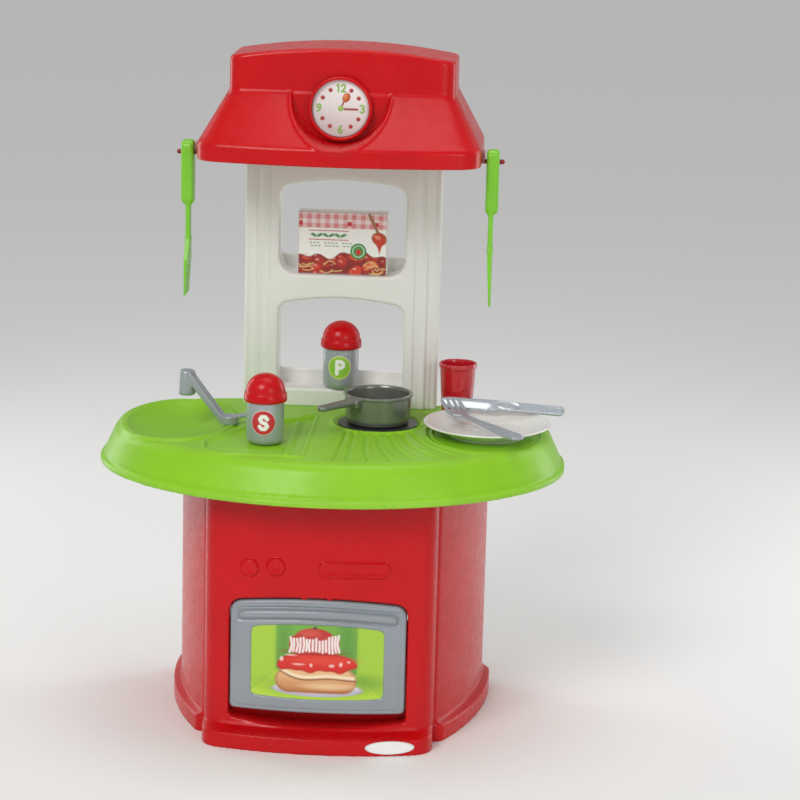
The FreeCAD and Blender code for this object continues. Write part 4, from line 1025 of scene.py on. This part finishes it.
def carton_front(u, v):
    """Check band, title leaves, dashes for small print, a heap in sauce, a spoon and a seal, with
    painted shade along the edges.
    """
    art = Print(u, v, "F6F4F0")
    cell = 4.1
    stripe_u = 0.5 + 0.5 * np.sign(np.sin(math.pi * (u + 41) / cell))
    stripe_v = 0.5 + 0.5 * np.sign(np.sin(math.pi * (v - 43.5) / cell))
    wash = 0.18 + 0.30 * stripe_u + 0.30 * stripe_v
    check = [wash * a + (1 - wash) * b for a, b in zip(rgb("D8424A"), rgb("FBF6F4"))]
    art.fill(43.2 - v, check, soft=0.2)
    for at in (-38.9, 6.2, 30.8):
        art.fill(maximum(np.abs(u - at) - 2.0, np.abs(v - 47.5) - 2.0), "CF2630")
    for high in (40.8, 32.4):
        art.stroke([(-31, high), (5, high)], 0.8, "C6262C")
    for k in range(6):
        at = -26.5 + 5.4 * k
        art.ovals(((at, 36.6), 2.9, 1.25, "3F8B3A", 0.35, 1.0, 35 if k % 2 else -35))
    art.stroke([(-30, 36.6), (4, 36.6)], 0.5, "2F6F30")
    for row, high in enumerate((29.4, 26.6)):
        for k in range(12):
            if k % 5 != 3:
                art.ovals(((-29 + 3.3 * k + row, high), 1.1, 0.55, "3F8B3A"))
    dice = np.random.default_rng(5)
    heap_top = 19.5 + 3.2 * np.sin(u / 9) + 1.8 * np.sin(u / 3.1 + 2)
    heap_top = heap_top - 6 * clip((-u - 26) / 14, 0, 1)
    art.fill(v - heap_top, "8E1E14", soft=0.6)
    for k in range(46):
        cu, cv = dice.uniform(-38, 38), dice.uniform(1, 20)
        size = dice.uniform(1.6, 4.2)
        tone = dice.choice(["C5281B", "A51E14", "D93E22", "B02A17", "E0592B"])
        lump = art.oval_distance((cu, cv), size * 1.25, size, dice.uniform(-30, 30))
        art.fill(maximum(lump, v - (heap_top - 1.5)), str(tone), soft=0.5)
        at = (cu - size * 0.4, cv + size * 0.35)
        art.ovals((at, size * 0.4, size * 0.22, "F7C9B4", 0.5, 0.75))
    for k in range(15):
        cu, cv = dice.choice([-30, 32, 24, -8]) + dice.uniform(-7, 7), dice.uniform(1, 10)
        noodle = curve_through((cu - 5, cv), (cu, cv + 2 * dice.uniform(-4, 4)), (cu + 5, cv + 1))
        art.stroke(noodle, 0.9, "E6BE78", soft=0.5)
    art.stroke([(24, 57), (29, 47), (33, 39)], 2.6, "8C5A34")
    art.stroke([(24.4, 57), (29.4, 47), (33.2, 40)], 0.8, "C08A55", soft=0.4)
    art.ovals(((33.5, 34.5), 7.2, 6.0, "A4632F", 0.35, 1.0, -25),
              ((33.6, 34.2), 6.2, 5.0, "CB3A1E", 0.35, 1.0, -25),
              ((31.8, 36.0), 2.8, 1.6, "F09A74", 0.8, 1.0, -25))
    art.shape([(30, 30.5), (37, 30.5), (34.8, 24), (33.8, 20), (32.6, 25)], "C6341C", soft=0.6)
    for size, colour in ((7.4, "2F8A3C"), (5.6, "E9F1E2"), (4.9, "3C9647")):
        art.ovals(((14.6, 22.4), size, size, colour))
    art.ovals(((14.6, 21.8), 2.5, 2.8, "CF2A22"))
    # painted shade: the front greys towards its edges
    rim = maximum(np.abs(u) - 41, np.abs(v - 29) - 29)
    art.fill(-rim - 0.5, "B9B6B2", soft=1.6, strength=0.7)
    return art.colour


BADGE_A, BADGE_B = 21.5, 6.0


def plain_badge(u, v):
    art = Print(u, v, "F5F3F0")
    art.fill((0.93 - hypot(u / BADGE_A, v / BADGE_B)) * 6, "D8D6D6", soft=0.3)
    return art.colour


dial = printed_sheet("dial_print", disc(25.2, 25.2), (150, 150), clock_face,
                     lambda u, v: (u, np.full(u.shape, 41.0), v + CLOCK_Z), 1.0)
settled(dial, PRINT, "root", "dial", "clock_dial")

for body, place, letter, outer, inner in (("salt", SALT, "S", "C81F26", "CE2129"),
                                          ("pepper", PEPPER, "P", "8DC63F", "B7D22E")):
    def wrap(u, v, place=place):
        turn, far = u / SHAKER_R, SHAKER_R + 0.3
        return place[0] + far * np.sin(turn), place[1] - far * np.cos(turn), place[2] + 21.5 + v
    label = printed_sheet(body + "_label_print", disc(11, 11), (72, 72),
                          shaker_label(letter, outer, inner), wrap, 0.25)
    settled(label, PRINT, body, body + "_label", body + "_label")


def on_door(u, v):
    far = FACE_R - 0.6
    return u, FACE_CENTRE - np.sqrt(far ** 2 - u ** 2), v


picture = printed_sheet("oven_picture", lambda a, b: (59 * a, 80.2 + 34.2 * b), (260, 156),
                        oven_picture, on_door, 0.35)
settled(picture, PRINT, "door", "sticker", "door_sticker")


def on_skirt(u, v):
    """On the front of the foot skirt, right of the middle."""
    x = 66 + u
    return x, FACE_CENTRE - SKIRT_OUT - np.sqrt((FACE_R + 0.8) ** 2 - x ** 2), v + 8


badge = printed_sheet("badge_print", disc(BADGE_A, BADGE_B), (96, 40), plain_badge, on_skirt, 0.8)
settled(badge, PRINT, "root", "label_white", "badge_plate")


# ---- food carton

CARTON_LOW, CARTON_TALL, CARTON_HALF = 388.0, 58.0, 41


def carton(x, y, z):
    """Card box with folded edges and a tuck flap's line on each end and on top."""
    face = box2(x, z - CARTON_LOW - CARTON_TALL / 2, CARTON_HALF, CARTON_TALL / 2, 0.9)
    flap = ridge(y - 112.5, 0.5) * (np.abs(x) > 38)
    flap = flap + ridge(y - 114.5, 0.5) * (z > CARTON_LOW + CARTON_TALL - 3)
    return slab(face, y, 98.3, 116, 0.9) + 0.35 * flap


settled(skin("carton_box", carton, (-CARTON_HALF, 98, 388), (CARTON_HALF, 116, 446), 0.9),
        CARD, "food_carton", "carton", "food_carton")
front = printed_sheet("carton_print", lambda a, b: (40.5 * a, 29 + 28.5 * b), (210, 148),
                      carton_front, lambda u, v: (u, np.full(u.shape, 98.05), v + CARTON_LOW), 0.2)
settled(front, PRINT, "food_carton", "carton")


# ---- CAD pieces that stay

# the pegs take the red darkened as painted shade
for name, material in (("burner_disc", BLACK), ("oven_floor", RED), ("peg_right", PEG_RED_PAINTED_SHADE),
                       ("peg_left", PEG_RED_PAINTED_SHADE)):
    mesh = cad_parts[name].data
    mesh.materials.clear()
    mesh.materials.append(material)


# ---- floor, light and camera

FLOOR_HALF = 80000.0        # so wide that its edge isn't seen


def make_floor():
    corners = [(FLOOR_HALF * i, FLOOR_HALF * j, 0) for i, j in ((-1, -1), (1, -1), (1, 1), (-1, 1))]
    floor = new_object("floor", corners, np.array([[0, 1, 2, 3]]))
    material = bpy.data.materials.new("pale_floor")
    material.use_nodes = True
    shader = material.node_tree.nodes["Principled BSDF"]
    shader.inputs["Base Color"].default_value = (0.93, 0.93, 0.92, 1)
    shader.inputs["Roughness"].default_value = 0.6
    floor.data.materials.append(material)


def aim(thing, place, target, roll=0.0):
    """Points a light or camera at a target; roll tips the picture."""
    back = (Vector(place) - Vector(target)).normalized()
    right = Vector((0, 0, 1)).cross(back).normalized()
    up = back.cross(right)
    c, s = math.cos(roll), math.sin(roll)
    right, up = c * right + s * up, c * up - s * right
    turn = Matrix((right, up, back)).transposed().to_4x4()
    thing.matrix_world = Matrix.Translation(place) @ turn


def soft_box(name, place, target, wide, tall, power):
    light = bpy.data.lights.new(name, "AREA")
    light.shape = "RECTANGLE"
    light.size, light.size_y = wide, tall
    light.energy = power
    aim(linked(name, light), place, target)


SKY, SUN_POWER, SUN_ANGLE = 0.36, 0.8, 25
MIDDLE, SIDE_MIDDLE = (0, 0, 0.30), (0, 0.05, 0.25)
SOFT_BOXES = (      # name, place, target, width, height, power; metres and watts
    ("key", (-0.8, -1.8, 1.8), MIDDLE, 1.0, 0.8, 10),
    ("fill", (1.3, -1.9, 0.9), MIDDLE, 0.8, 1.0, 8),
    ("side_left", (-1.1, 0.75, 0.45), SIDE_MIDDLE, 0.4, 1.2, 4),
    ("side_right", (1.1, 0.75, 0.45), SIDE_MIDDLE, 0.4, 1.2, 4),
    ("top", (0.1, 0.2, 1.9), MIDDLE, 1.2, 0.9, 7),
)


def make_light():
    world = bpy.data.worlds.new("studio")
    world.use_nodes = True
    sky = world.node_tree.nodes["Background"]
    sky.inputs["Color"].default_value = (1, 1, 1, 1)
    sky.inputs["Strength"].default_value = SKY
    bpy.context.scene.world = world
    sun = linked("sun", bpy.data.lights.new("sun", "SUN"))
    sun.data.energy, sun.data.angle = SUN_POWER, math.radians(SUN_ANGLE)
    aim(sun, (-0.8, -1.8, 1.9), MIDDLE)
    for box in SOFT_BOXES:
        soft_box(*box)


AZIMUTH, ELEVATION, ROLL = math.radians(3.0), math.radians(13.0), math.radians(1.5)
TARGET, CAMERA_FAR, LENS = Vector((0.062, -0.010, 0.2975)), 2.4, 122.0


def make_camera():
    """From the front, a little to the right and above, with a slight tilt."""
    back = Vector((math.sin(AZIMUTH) * math.cos(ELEVATION),
                   -math.cos(AZIMUTH) * math.cos(ELEVATION), math.sin(ELEVATION)))
    camera = linked("camera", bpy.data.cameras.new("camera"))
    camera.data.sensor_width = 36.0
    camera.data.lens = LENS
    aim(camera, TARGET + CAMERA_FAR * back, TARGET, ROLL)
    bpy.context.scene.camera = camera


make_floor()
make_light()
make_camera()
bpy.context.scene.view_settings.view_transform = "Standard"

bpy.context.view_layer.update()
